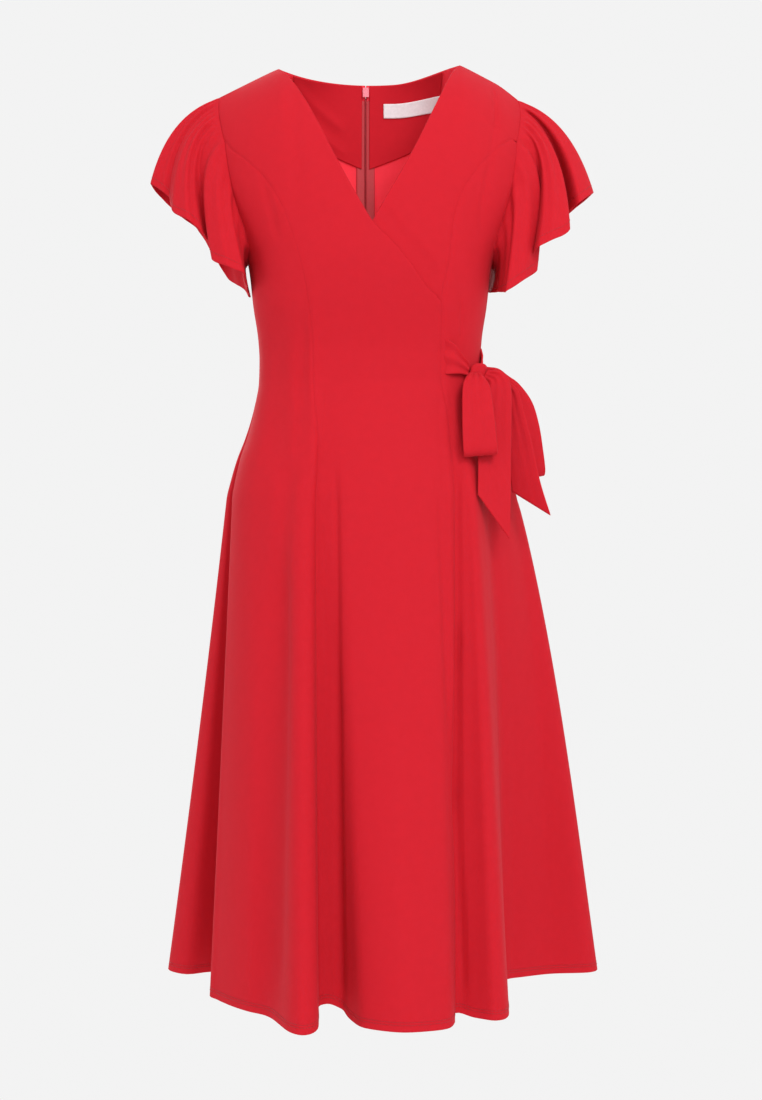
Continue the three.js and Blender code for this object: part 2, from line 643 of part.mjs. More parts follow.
function sleeve(table, side, columns = 44, rows = [0, 0.1, 0.24, 0.4, 0.57, 0.75, 0.9, 1]) {
  const lap = -2 * ARM_LEVEL;
  const fromAt = (index) => {
    const turned = table.map((row, i) => ({ i, from: row.from }));
    turned.push({ i: table.length, from: table[0].from + lap });
    return read(turned, "i", "from", index);
  };
  const hemAt = (index) => {
    const column = (name) => along(table, name, index, true);
    return new THREE.Vector3(side * column("out"), column("y"), column("z"));
  };
  const start = (index) => {
    const depth = fromAt(index);
    const { point, normal } = armPoint(depth, side);
    const around = armPoint(Math.min(depth + 1, -ARM_LEVEL), side).point.sub(
      armPoint(Math.max(depth - 1, ARM_LEVEL), side).point,
    );
    const away = normal.clone().cross(around).normalize();
    if (away.x * side + 0.5 * away.z < 0) away.negate();
    return { point: point.addScaledVector(away, SLEEVE.gap), normal, depth };
  };
  const surface = (index, t) => {
    const { point, depth } = start(index);
    const hem = hemAt(index);
    const mean = new THREE.Vector3();
    for (let k = -3; k <= 3; k += 1) mean.addScaledVector(hemAt(index + k), 1 / 7);
    const low = smooth(Math.abs(depth) / 170);
    const reach = SLEEVE.reach + (SLEEVE.tight - SLEEVE.reach) * low;
    const knee = point.clone();
    knee.x += side * reach;
    knee.z += reach * SLEEVE.fall * (1 - low);
    knee.addScaledVector(hem.clone().sub(mean), SLEEVE.spring);
    const blend = point.clone().multiplyScalar((1 - t) ** 2);
    return blend.addScaledVector(knee, 2 * t * (1 - t)).addScaledVector(hem, t * t);
  };
  return wallGeometry(
    columns,
    rows.length - 1,
    CLOTH,
    (column, row) => {
      const index = (column * table.length) / columns;
      const t = rows[row];
      const point = surface(index, t);
      if (row === 0) return { point, inward: start(index).normal.negate() };
      const round = surface(index + 0.12, t).sub(surface(index - 0.12, t));
      const down = surface(index, Math.min(1, t + 0.02)).sub(surface(index, t - 0.02));
      return { point, inward: round.cross(down).normalize().multiplyScalar(side) };
    },
    true,
  );
}

// A strip of the tie along a row of points. slant: how far the far corner of its end hangs lower.
function ribbon(table, { thick = TIE_CLOTH, across = 4, steps = 2, slant = 0 } = {}) {
  const rows = (table.length - 1) * steps;
  const place = (s, t) => {
    const value = (name) => along(table, name, t);
    const [turn, lean] = [radians(value("turn")), radians(value("lean"))];
    const width = new THREE.Vector3(
      Math.cos(turn) * Math.cos(lean),
      -Math.sin(turn) * Math.cos(lean),
      Math.sin(lean),
    );
    const point = new THREE.Vector3(value("x"), value("y"), value("z"));
    point.addScaledVector(width, s * value("width"));
    point.z -= slant * s * smooth((t / (table.length - 1) - 0.45) / 0.55);
    return point;
  };
  return wallGeometry(across, rows, thick, (column, row) => {
    const [s, t] = [column / across - 0.5, row / steps];
    const round = place(s + 0.02, t).sub(place(s - 0.02, t));
    const last = table.length - 1;
    const onward = place(s, Math.min(last, t + 0.02)).sub(place(s, Math.max(0, t - 0.02)));
    const inward = round.cross(onward).normalize();
    return { point: place(s, t).addScaledVector(inward, -thick / 2), inward };
  });
}

// The knot: a rounded cushion, squarer than an egg, that leans with the tie.
function knotGeometry(columns = 16, rows = 10) {
  const positions = [];
  const soften = (value, power) => Math.sign(value) * Math.abs(value) ** power;
  const spot = (u, v) => {
    const x = KNOT.wide * soften(Math.cos(u), 0.75) * soften(Math.cos(v), 0.6);
    const y = KNOT.deep * soften(Math.sin(u), 0.75) * soften(Math.cos(v), 0.6);
    const z = KNOT.high * soften(Math.sin(v), 0.8);
    return [KNOT.x + x + KNOT.lean * z, KNOT.y + y + KNOT.skew * x, KNOT.z + z];
  };
  positions.push(...spot(0, -Math.PI / 2));
  for (let row = 1; row < rows; row += 1) {
    const v = -Math.PI / 2 + (Math.PI * row) / rows;
    for (let column = 0; column < columns; column += 1) {
      positions.push(...spot((2 * Math.PI * column) / columns, v));
    }
  }
  positions.push(...spot(0, Math.PI / 2));
  const at = (column, row) => 1 + (row - 1) * columns + (column % columns);
  const top = 1 + (rows - 1) * columns;
  const triangles = [];
  for (let column = 0; column < columns; column += 1) {
    triangles.push(0, at(column + 1, 1), at(column, 1));
    triangles.push(top, at(column, rows - 1), at(column + 1, rows - 1));
    for (let row = 1; row < rows - 1; row += 1) {
      const [a, b] = [at(column, row), at(column + 1, row)];
      const [c, d] = [at(column + 1, row + 1), at(column, row + 1)];
      triangles.push(a, b, c, a, c, d);
    }
  }
  return geometryOf(positions, outwards(positions, triangles));
}

// A sheet behind the back panels, from a distance near the centre plane to a far one. levels:
// its rows; ends: moves the last row, for each distance.
function backSheet({ side, near, far, columns, levels, under, thick, ends }) {
  return wallGeometry(columns, levels.length - 1, thick, (column, row) => {
    const x = near + ((far - near) * column) / columns;
    const level = row === levels.length - 1 && ends ? ends(x) : levels[row];
    const angle = side * (180 - angleAt(x, level));
    const normal = dressNormal(angle, level);
    const point = dressPoint(angle, level).addScaledVector(normal, -under);
    return { point, inward: normal.negate() };
  });
}
function facing(side) {
  const slope = side < 0 ? FACING.right : FACING.left;
  const ends = (x) => FACING.centre + slope * x;
  return backSheet({
    side,
    near: FACING.edge,
    far: FACING.far,
    columns: 8,
    levels: [...LEVELS.filter((level) => level > ends(FACING.far) + 2), FACING.centre],
    under: FACING.under,
    thick: FACING.thick,
    ends,
  });
}
function tape(side) {
  return backSheet({
    side,
    near: TAPE.from,
    far: TAPE.to,
    columns: 1,
    levels: LEVELS.filter((level) => level <= -18 && level >= ZIP_END),
    under: TAPE.under,
    thick: TAPE.thick,
  });
}
function label() {
  return backSheet({
    side: 1,
    near: LABEL.near,
    far: LABEL.far,
    columns: 8,
    levels: [LABEL.top, -36, LABEL.top - LABEL.high],
    under: LABEL.under,
    thick: LABEL.thick,
  });
}

// Slider body inside the slit, with a bail that passes through it, as an outline in YZ.
function plate(outline, holes, width, bevel = 0) {
  const shape = new THREE.Shape(outline.map(([a, b]) => new THREE.Vector2(a, b)));
  for (const hole of holes) {
    shape.holes.push(new THREE.Path(hole.map(([a, b]) => new THREE.Vector2(a, b))));
  }
  const options = { depth: width - 2 * bevel, bevelEnabled: bevel > 0, steps: 1 };
  Object.assign(options, { bevelThickness: bevel, bevelSize: bevel, bevelOffset: -bevel });
  options.bevelSegments = 1;
  const geometry = new THREE.ExtrudeGeometry(shape, options);
  geometry.translate(0, 0, -width / 2 + bevel);
  return geometry;
}
const box = (y0, y1, z0, z1) => [[y0, z0], [y1, z0], [y1, z1], [y0, z1]];
// Stands a plate drawn in (y, z) up in the YZ plane, its width along X.
const stand = (geometry) =>
  geometry.applyMatrix4(new THREE.Matrix4().set(0, 0, 1, 0, 1, 0, 0, 0, 0, 1, 0, 0, 0, 0, 0, 1));

function sliderGeometry() {
  const { y, deep, top, high, wide } = SLIDER;
  const body = box(y - deep, y, top - high, top);
  return stand(plate(body, [], wide, 0.4));
}
function bailGeometry() {
  const { out, bar, top, low, wide } = BAIL;
  const arch = box(SLIDER.y + 0.3, out, low - bar, top + bar);
  const opening = box(SLIDER.y + 0.3 + bar, out - bar, low, top);
  return stand(plate(arch, [opening], wide));
}
function pullGeometry() {
  const { wide, high, thick, bar, eye, slot } = PULL;
  const [half, tip] = [wide / 2, wide / 2 - 1.2];
  const [up, low] = [bar / 2, bar / 2 - high];
  const outline = [[-half, up], [-half, low + 1.2], [-tip, low], [tip, low], [half, low + 1.2], [half, up]];
  const window = box(-slot / 2, slot / 2, -bar / 2 - eye, -bar / 2);
  const geometry = plate(outline, [window], thick);
  geometry.rotateX(Math.PI / 2);
  geometry.translate(0, PULL_PIVOT.y, PULL_PIVOT.z);
  return geometry;
}

const dress = new THREE.Group();
dress.name = "dress";
function add(name, geometry, colour = COLOURS.cloth, roughness = 0.85) {
  const material = new THREE.MeshStandardMaterial({ color: colour, roughness, metalness: 0 });
  const mesh = new THREE.Mesh(geometry, material);
  mesh.name = name;
  dress.add(mesh);
}

for (const [name, geometry] of Object.entries({ ...fronts(), ...backs() })) add(name, geometry);
add("sleeve_right", sleeve(FLOUNCE_RIGHT, -1));
add("sleeve_left", sleeve(FLOUNCE_LEFT, 1));
add("tie_front", ribbon(STEM, { across: 4, steps: 2 }));
add("tie_side", ribbon(STEM_SIDE, { across: 3, steps: 2 }));
add("knot", knotGeometry());
add("loop_front", ribbon(LOOP_FRONT));
add("loop_side", ribbon(LOOP_SIDE));
add("tail_front", ribbon(TAIL_FRONT, { slant: 49 }));
add("tail_side", ribbon(TAIL_SIDE, { slant: 27 }));
add("back_facing_right", facing(-1), COLOURS.facing);
add("back_facing_left", facing(1), COLOURS.facing);
add("zip_tape_right", tape(-1), COLOURS.tape);
add("zip_tape_left", tape(1), COLOURS.tape);
add("label", label(), COLOURS.label, 0.7);
add("zip_slider", sliderGeometry(), COLOURS.zip, 0.4);
add("zip_bail", bailGeometry(), COLOURS.zip, 0.4);
add("zip_pull", pullGeometry(), COLOURS.zip, 0.4);

export default dress;
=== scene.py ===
"""The looks of a red crepe wrap dress, filled out and worn by nobody.

Every piece of cloth is a surface of two parameters, worked out with numpy from the same named
sizes as the solids: rings for the body of the dress, a table of folds at the hem, flounces round
the armholes and ribbons for the bow. Lengths are millimetres here and become metres in the mesh.
+Z is up, the front faces -Y and +X is the wearer's left.
"""

from __future__ import annotations

import logging
import math
from dataclasses import dataclass, field
from enum import Enum
from functools import partial
from typing import Callable, Optional, Sequence

import bpy
import numpy as np
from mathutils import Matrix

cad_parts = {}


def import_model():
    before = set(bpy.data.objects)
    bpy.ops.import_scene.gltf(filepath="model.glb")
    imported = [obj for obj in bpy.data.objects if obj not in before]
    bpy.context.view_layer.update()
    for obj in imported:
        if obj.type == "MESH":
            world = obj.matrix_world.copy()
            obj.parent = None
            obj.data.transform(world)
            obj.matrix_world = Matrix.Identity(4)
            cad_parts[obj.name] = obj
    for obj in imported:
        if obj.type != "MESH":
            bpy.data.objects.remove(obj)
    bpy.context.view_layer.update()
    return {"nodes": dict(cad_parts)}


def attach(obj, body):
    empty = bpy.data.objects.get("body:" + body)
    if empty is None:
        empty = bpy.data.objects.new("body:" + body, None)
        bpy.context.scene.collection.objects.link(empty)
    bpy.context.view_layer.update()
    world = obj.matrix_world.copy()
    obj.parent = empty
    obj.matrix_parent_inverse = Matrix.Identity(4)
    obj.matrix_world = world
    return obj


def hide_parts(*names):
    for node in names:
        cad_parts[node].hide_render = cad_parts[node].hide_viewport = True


Array = np.ndarray
Curve = Callable[[Array], Array]
Triple = tuple[float, float, float]
Material = bpy.types.Material
Piece = bpy.types.Object
Socket = bpy.types.NodeSocket
MM = 0.001
LOG = logging.getLogger("wrap_dress")


class Side(Enum):
    """A side of the dress, as its wearer has it."""

    RIGHT = -1
    LEFT = 1


class Held(Enum):
    HUNG = "hung"
    GATHERED = "gathered"
    FOLDED = "folded"
    LAID = "laid"


class Zone(Enum):
    """Where a light stands, seen from the front of the dress."""

    KEY = "key"
    FRONT = "front"
    LEFT = "left"
    BACK = "back"


def smooth(value: Array) -> Array:
    """Eases a value from 0 to 1: three times its square less twice its cube, held at both ends.

    Args:
        value: any numbers; below 0 counts as 0 and above 1 as 1.

    Returns:
        The eased numbers.
    """
    s = np.clip(value, 0.0, 1.0)
    return s * s * (3.0 - 2.0 * s)


def unit(vectors: Array) -> Array:
    """Scales vectors to length one.

    Args:
        vectors: an array whose last axis is x, y, z.

    Returns:
        The unit vectors.
    """
    length = np.linalg.norm(vectors, axis=-1, keepdims=True)
    return vectors / np.maximum(length, 1e-9)


def bell(distance: Array, width: float) -> Array:
    """A soft bump: e to the minus square of distance over width.

    Args:
        distance: how far each point lies from the middle of the bump.
        width: the distance at which the bump has dropped to about a third.

    Returns:
        Values from 0 to 1.
    """
    return np.exp(-((distance / width) ** 2))


@dataclass(frozen=True)
class Table:
    """A short table with named columns, read as smooth curves."""

    columns: tuple[str, ...]
    rows: tuple[tuple[float, ...], ...]

    def column(self, name: str) -> Array:
        """Gives one named column.

        Args:
            name: the column's name.

        Returns:
            Its values, in the order of the rows.
        """
        place = self.columns.index(name)
        return np.array([row[place] for row in self.rows], dtype=float)

    def read(self, key: str, column: str, at: Array) -> Array:
        """Reads a column at any value of its key, with a cubic that never overshoots.

        Each tangent is the harmonic mean of the slopes on its two sides, or level at a peak.

        Args:
            key: the column that runs steadily up or down.
            column: the column to read.
            at: values of the key.

        Returns:
            The column's values there.
        """
        xs, ys = self.column(key), self.column(column)
        rising = 1.0 if xs[-1] > xs[0] else -1.0
        return monotone(xs * rising, ys, np.asarray(at, dtype=float) * rising)

    def along(self, column: str, at: Array, closed: bool = False) -> Array:
        """Reads a column part-way between its rows, on a Catmull-Rom spline.

        Args:
            column: the column to read.
            at: row numbers, with fractions.
            closed: whether the last row is followed by the first.

        Returns:
            The column's values there.
        """
        ys = self.column(column)
        count = len(ys)
        at = np.asarray(at, dtype=float)
        i = np.floor(at).astype(int)
        if not closed:
            i = np.clip(i, 0, count - 2)
        t = at - i
        if closed:
            a, b, c, d = (ys[(i + k) % count] for k in (-1, 0, 1, 2))
        else:
            padded = np.concatenate([[2 * ys[0] - ys[1]], ys, [2 * ys[-1] - ys[-2]]])
            a, b, c, d = (padded[i + k] for k in (0, 1, 2, 3))
        cubic = 2 * a - 5 * b + 4 * c - d + t * (3 * (b - c) + d - a)
        return b + 0.5 * t * (c - a + t * cubic)


def monotone(xs: Array, ys: Array, at: Array) -> Array:
    """Interpolates with cubic pieces whose tangents are harmonic means of neighbouring slopes.

    Args:
        xs: rising positions of the knots.
        ys: values at the knots.
        at: positions to read, held within the knots.

    Returns:
        Interpolated values.
    """
    x = np.clip(at, xs[0], xs[-1])
    i = np.clip(np.searchsorted(xs, x, side="left") - 1, 0, len(xs) - 2)
    slopes = np.diff(ys) / np.diff(xs)
    inner = slopes[:-1] * slopes[1:]
    total = slopes[:-1] + slopes[1:]
    mean = np.where(inner <= 0, 0.0, 2 * inner / np.where(total == 0, 1.0, total))
    tangents = np.concatenate([[slopes[0]], mean, [slopes[-1]]])
    h = xs[i + 1] - xs[i]
    t = (x - xs[i]) / h
    t2, t3 = t * t, t * t * t
    value = ys[i] * (2 * t3 - 3 * t2 + 1) + ys[i + 1] * (3 * t2 - 2 * t3)
    return value + h * (tangents[i] * (t3 - 2 * t2 + t) + tangents[i + 1] * (t3 - t2))


SECTIONS = Table(
    ("level", "wide", "front", "back", "middle"),
    (
        (0, 190, 104, 92, 12),
        (-60, 187, 105, 95, 10),
        (-105, 183, 107, 98, 7),
        (-155, 175, 108, 98, 4),
        (-208, 156, 109, 95, 2),
        (-240, 144, 108, 92, 0),
        (-289, 138, 102, 87, 0),
        (-326, 132.5, 95, 84, 0),
        (-350, 131, 92, 84, 0),
        (-374, 131.5, 92, 86, 0),
        (-397, 134, 93, 90, 0),
        (-421, 137.5, 95, 95, 0),
        (-445, 143, 97, 100, 0),
        (-468, 150, 99, 104, 0),
        (-492, 155, 101, 107, 0),
        (-516, 158.5, 103, 109, 0),
        (-700, 159, 104, 110, 0),
    ),
)
FOLDS = Table(
    ("angle", "x", "y"),
    (
        (-93, -168, 14), (-90, -171, -46), (-85, -186, -98), (-78, -178, -119),
        (-68, -161, -149), (-58, -144, -172), (-49, -127, -192), (-41, -113, -226),
        (-35, -98, -262), (-30, -83, -274), (-26.8, -68.5, -258), (-24, -66.6, -212),
        (-22.8, -59.3, -206), (-21.4, -48.7, -206), (-19.8, -39.3, -212), (-17.8, -30.9, -228),
        (-12, -18, -251), (3, 16, -269), (15, 48, -266), (23, 69, -256), (27, 77, -236),
        (34, 80.5, -212), (36, 92, -213), (37.8, 105, -219), (39.3, 122, -228), (41, 137, -213),
        (44.3, 144, -154), (49.2, 150, -62), (57, 160, -43), (67, 178, -34), (78, 214, -20),
        (87, 262, -15), (92, 272, 12), (98, 248, 58), (104, 206, 74), (112, 186, 100),
        (122, 203, 158), (130, 186, 196), (138, 140, 186), (146, 102, 176), (155, 86, 222),
        (163, 62, 254), (172, 26, 240), (180, 0, 204), (188, -30, 214), (196, -58, 250),
        (204, -92, 246), (212, -112, 198), (220, -134, 160), (229, -168, 176),
        (238, -204, 154), (246, -198, 112), (253, -184, 82), (258, -214, 62),
        (262, -240, 32), (264.5, -218, 4), (266, -190, 14),
    ),
)
HEM_RISES = Table(("angle", "high", "wide"), ((-22.6, 15, 2.9), (34.6, 4.5, 1.8)))
PRINCESS = Table(
    ("level", "right", "left"),
    (
        (-75, 170, 164), (-92, 162.5, 152.5), (-112, 149, 137.5), (-140, 129.5, 117.5),
        (-170, 112, 99.5), (-200, 98.5, 90), (-246, 84, 85), (-289, 75.5, 77),
        (-330, 70, 77), (-374, 68.5, 77), (-421, 68, 85), (-468, 66, 90), (-516, 64, 93),
    ),
)
NECK_EDGE = Table(
    ("level", "over", "under"),
    (
        (0, -108, 108), (-24, -95, 94), (-62, -76, 74), (-126, -46, 41), (-184, -15, 8),
        (-205, -2, -4), (-225, 18, -20), (-249, 39, -40), (-277, 60, -62), (-289, 73, -72),
        (-304, 75, -72),
    ),
)
ARMHOLE = Table(
    ("level", "front", "back"),
    (
        (0, 65, 65), (-18, 66, 66.5), (-56, 63.5, 65), (-75, 61.8, 63.5),
        (-140, 61.4, 62.5), (-200, 63.5, 65), (-222, 67, 69), (-233, 76, 77),
        (-240, 90, 90),
    ),
)
FLOUNCE_RIGHT = Table(
    ("from", "out", "y", "z"),
    (
        (-240, 143, 0, -274), (-222, 144, -32, -270), (-190, 147, -60, -264),
        (-154, 148, -74, -259), (-116, 166, -79, -252), (-80, 184, -65, -243),
        (-54, 186, -42, -224), (-39, 199, -52, -205), (-28, 214, -53, -194),
        (-19, 231, -38, -183), (-12, 236, -12, -163), (-5, 246, -4, -152), (0, 260, 8, -142),
        (6, 247, 32, -155), (13, 226, 35, -174), (22, 226, 58, -172), (35, 206, 72, -184),
        (52, 188, 60, -213), (80, 184, 78, -221), (122, 168, 84, -243), (170, 153, 60, -255),
        (222, 142, 30, -271),
    ),
)
FLOUNCE_LEFT = Table(
    ("from", "out", "y", "z"),
    (
        (-240, 144, 0, -268), (-222, 147, -34, -272), (-190, 150, -62, -276),
        (-152, 153, -77, -277), (-112, 173, -72, -264), (-80, 192, -50, -249),
        (-56, 186, -46, -234), (-41, 190, -74, -225), (-30, 209, -74, -216),
        (-20, 229, -62, -203), (-13, 231, -14, -178), (-7, 245, -40, -166), (0, 267, -6, -149),
        (6, 252, 28, -160), (13, 228, 32, -180), (22, 228, 58, -184), (35, 207, 70, -196),
        (52, 190, 58, -226), (80, 184, 78, -238), (122, 168, 82, -248), (170, 154, 58, -258),
        (222, 142, 32, -262),
    ),
)
RIBBON_COLUMNS = ("x", "y", "z", "width", "turn", "lean")
TIE_FRONT = Table(
    RIBBON_COLUMNS,
    (
        (77.2, -77.0, -352, 43, 90, 88), (92, -78.2, -356, 33, 90, 88),
        (101, -73, -361, 22, 90, 86), (109.7, -67.6, -366.5, 14, 90, 84),
    ),
)
TIE_SIDE = Table(
    RIBBON_COLUMNS,
    (
        (131.4, -5, -350, 28, 90, 88), (129.7, -21.5, -352.5, 25, 90, 88),
        (129.9, -31.5, -358, 20, 90, 88), (126.4, -48.8, -368.6, 12, 90, 86),
    ),
)
LOOP_FRONT = Table(
    RIBBON_COLUMNS,
    (
        (117.9, -69.3, -371.7, 14, -8, 0), (116.5, -82, -378, 22, -8, 0),
        (117, -89, -391, 31, -8, 2), (118, -99, -425, 36, -8, 4),
        (119, -105.5, -453, 38, -8, 5), (120, -105, -464, 38, -8, 5),
        (120.5, -98.5, -467, 38, -8, 5), (121, -94, -457, 37, -8, 4),
        (121, -88, -430, 34, -8, 3), (121, -81, -403, 24, -8, 1), (121, -75, -388, 15, -8, 0),
    ),
)
LOOP_SIDE = Table(
    RIBBON_COLUMNS,
    (
        (131.5, -52.8, -367, 9, -20, 62), (142.6, -49.4, -371, 16, -20, 56),
        (151.5, -46.4, -380, 22, -20, 46), (161.5, -45.5, -390, 28, -20, 36),
        (173.5, -43, -409, 33, -20, 24), (180, -41, -434, 36, -20, 14),
        (183.5, -39, -460, 38, -20, 10), (186.5, -37, -482, 38, -20, 10),
        (186.5, -31.5, -490, 38, -20, 10), (185, -26, -484, 38, -20, 10),
        (181, -25, -458, 37, -20, 11), (172, -27, -426, 33, -20, 20),
        (162, -31.5, -404, 27, -20, 32), (151, -38, -386, 19, -20, 44),
        (136, -46.5, -371, 11, -20, 54),
    ),
)
TAIL_FRONT = Table(
    RIBBON_COLUMNS,
    (
        (130.8, -60.3, -371.6, 11, -25, 60), (142.5, -65, -377, 23, -20, 38),
        (144, -69, -391, 32, -14, 14), (141.5, -74, -420, 36, -12, 3),
        (139, -80, -460, 38, -12, 0), (137.5, -90, -500, 38, -12, 0),
        (135.5, -99, -537, 37, -12, 0),
    ),
)
TAIL_SIDE = Table(
    RIBBON_COLUMNS,
    (
        (133.8, -57.4, -376.5, 11, 30, 30), (149, -55.5, -383, 16, 28, 24),
        (159.5, -57, -394, 19, 22, 16), (163, -59, -414, 22, 18, 8),
        (168.5, -61, -444, 29, 14, 3), (175, -62, -482, 35, 12, 0), (184, -62, -521, 43, 12, 0),
    ),
)
CREASES = Table(
    ("x0", "z0", "x1", "z1", "wide", "high"),
    (
        (-127, -151, -110, -218, 5, -1.2),
        (-93, -40, -86, -177, 9, -1.4),
        (145, -30, 143, -82, 2.5, -1.4),
        (142, -84, 125, -177, 4, -1.3),
        (125, -170, 122, -222, 4, -0.9),
        (-71, -285, -70, -500, 6, 2.0),
        (-111, -310, -112, -470, 14, -3.0),
        (-81, -330, -88, -480, 6, -1.2),
        (-98, -480, -111, -640, 11, -4.5),
        (-110, -620, -120, -1060, 13, -12.0),
        (101, -290, 101, -332, 2.5, -0.7),
        (81, -400, 84, -760, 5, 1.8),
        (71, -520, 78, -770, 4, -1.6),
        (94, -480, 91, -690, 4, -3.0),
        (91, -670, 85.5, -860, 3.5, -6.0),
        (85.5, -840, 89, -1050, 3.5, -4.5),
        (-45, -500, -44.5, -760, 4, -3.5),
        (-44.5, -740, -43, -1080, 4, -5.0),
    ),
)
CREASE_FADE = 0.3
NECK_CREASES = Table(
    ("x0", "z0", "x1", "z1", "wide", "high"),
    ((-90, -8, -30, -54, 6, 2.2), (-74, -48, -26, -84, 5, 1.8)),
)


@dataclass(frozen=True)
class DressShape:
    """The body of the dress as one surface of an angle round it and a level down it."""

    hem_level: float = -1076.0
    arm_level: float = -240.0
    hip_level: float = -516.0
    fold_level: float = -380.0
    neck_half: float = 108.0
    neck_back: float = 97.0
    shoulder_slope: float = 0.52
    left_lift: float = 8.0
    lift_from: float = 35.0
    lift_over: float = 70.0
    lift_until: float = 150.0
    lift_fade: float = 45.0
    shoulder_early: float = 3.0
    shoulder_soft: float = 8.0
    round_front: float = 40.0
    round_back: float = 30.0
    squareness: float = 0.06
    neck_power: float = 0.75
    fold_power: float = 1.15
    flare_power: float = 0.75
    wrap_level: float = -289.0
    under_end: float = -304.0
    lap: float = 2.1
    left_flare: float = 11.5
    zip_end: float = -410.0
    zip_half: float = 0.9
    seam: float = 0.3

    def shoulder_line(self, x: Array) -> Array:
        """Height of the shoulder line: it falls by the slope past the neck, with a soft start,
        and the wearer's left shoulder is lifted a little.

        Args:
            x: distance from the centre plane.

        Returns:
            Heights.
        """
        beyond = np.abs(x) - self.neck_half + self.shoulder_early
        lift = smooth((x - self.lift_from) / self.lift_over)
        lift = lift * (1.0 - smooth((x - self.lift_until) / self.lift_fade))
        soft = np.sqrt(beyond * beyond + self.shoulder_soft**2)
        fall = self.shoulder_slope * (beyond + soft) / 2.0
        return self.left_lift * lift - fall

    def fold_index(self, angle: Array) -> Array:
        """Finds the row of the fold table for an angle at the hip.

        Args:
            angle: degrees from the front centre.

        Returns:
            Row numbers, with fractions.
        """
        angles = FOLDS.column("angle")
        turned = np.where(angle < angles[0], angle + 360.0, angle)
        knots = np.append(angles, angles[0] + 360.0)
        return monotone(knots, np.arange(len(knots), dtype=float), turned)

    def point(self, angle: Array, level: Array) -> Array:
        """A point of the outer face.

        A ring, half width times the sine of the angle and depth times its cosine, is filled out
        a little at its corners. The upper rings follow the shoulder line up, and the cloth turns
        down off it as one less e to the minus depth over a radius. Below the waist the ring
        blends towards the fold table, by the share of the way down raised to the fold power.
        By that same share the hem rises by a bell of the angle round each row of its table.
        The wearer's left side swells out by the sine of half a turn times the way down from
        the hip, raised to the flare power.

        Args:
            angle: degrees from the front centre, positive to the wearer's left.
            level: height of the ring.

        Returns:
            Points, with x, y, z on the last axis.
        """
        angle, level = np.broadcast_arrays(
            np.asarray(angle, dtype=float), np.asarray(level, dtype=float)
        )
        a = np.radians(angle)
        front = np.cos(a) >= 0
        fill = 1.0 + self.squareness * np.sin(2 * a) ** 2
        wide = SECTIONS.read("level", "wide", level)
        middle = SECTIONS.read("level", "middle", level)
        depth = np.where(
            front,
            SECTIONS.read("level", "front", level),
            SECTIONS.read("level", "back", level),
        )
        x = wide * np.sin(a) * fill
        z = level + smooth(1.0 - level / self.arm_level) * self.shoulder_line(x)
        below = np.maximum(0.0, self.shoulder_line(x) - z)
        edge = np.minimum(1.0, np.abs(x) / self.neck_half)
        neck = middle + (self.neck_back - middle) * (1.0 - edge * edge) ** self.neck_power
        start = np.where(front, middle, neck)
        full = middle - depth * np.cos(a) * fill
        turned = 1.0 - np.exp(-below / np.where(front, self.round_front, self.round_back))
        y = start + (full - start) * turned
        share = np.clip(
            (self.fold_level - level) / (self.fold_level - self.hem_level), 0.0, 1.0
        )
        weight = share**self.fold_power
        index = self.fold_index(angle)
        x = x + weight * (FOLDS.along("x", index, True) - x)
        y = y + weight * (FOLDS.along("y", index, True) - y)
        for centre, high, wide in HEM_RISES.rows:
            z = z + weight * high * bell(angle - centre, wide)
        drop = np.clip((self.hip_level - level) / (self.hip_level - self.hem_level), 0.0, 1.0)
        side = smooth((np.sin(a) - 0.5) / 0.5)
        x = x + self.left_flare * side * np.sin(np.pi * drop**self.flare_power)
        return np.stack([x, y, z], axis=-1)

    def normal(self, angle: Array, level: Array) -> Array:
        """The direction out of the cloth: the cross product of small steps round and up.

        Args:
            angle: degrees from the front centre.
            level: height of the ring.

        Returns:
            Unit vectors.
        """
        across = self.point(angle + 0.25, level) - self.point(angle - 0.25, level)
        up = self.point(angle, np.minimum(level + 1.0, 0.0)) - self.point(angle, level - 1.0)
        return unit(np.cross(across, up))

    def angle_at(self, x: Array, level: Array) -> Array:
        """Finds where the front of a ring passes a distance from the centre, by halving.

        Args:
            x: distances from the centre plane.
            level: heights of the rings.

        Returns:
            Angles in degrees, from -90 to 90.
        """
        x, level = np.broadcast_arrays(np.asarray(x, dtype=float), np.asarray(level, float))
        low, high = np.full(x.shape, -90.0), np.full(x.shape, 90.0)
        wide = SECTIONS.read("level", "wide", level)
        for _ in range(40):
            mid = (low + high) / 2.0
            a = np.radians(mid)
            short = wide * np.sin(a) * (1.0 + self.squareness * np.sin(2 * a) ** 2) < x
            low, high = np.where(short, mid, low), np.where(short, high, mid)
        return (low + high) / 2.0

    def per_mm(self, angle: Array, level: Array) -> Array:
        """Degrees that one millimetre of cloth spans along a ring.

        Args:
            angle: degrees from the front centre.
            level: height of the ring.

        Returns:
            Degrees for each millimetre.
        """
        step = self.point(angle + 0.2, level) - self.point(angle - 0.2, level)
        return 0.4 / np.maximum(np.linalg.norm(step, axis=-1), 0.05)


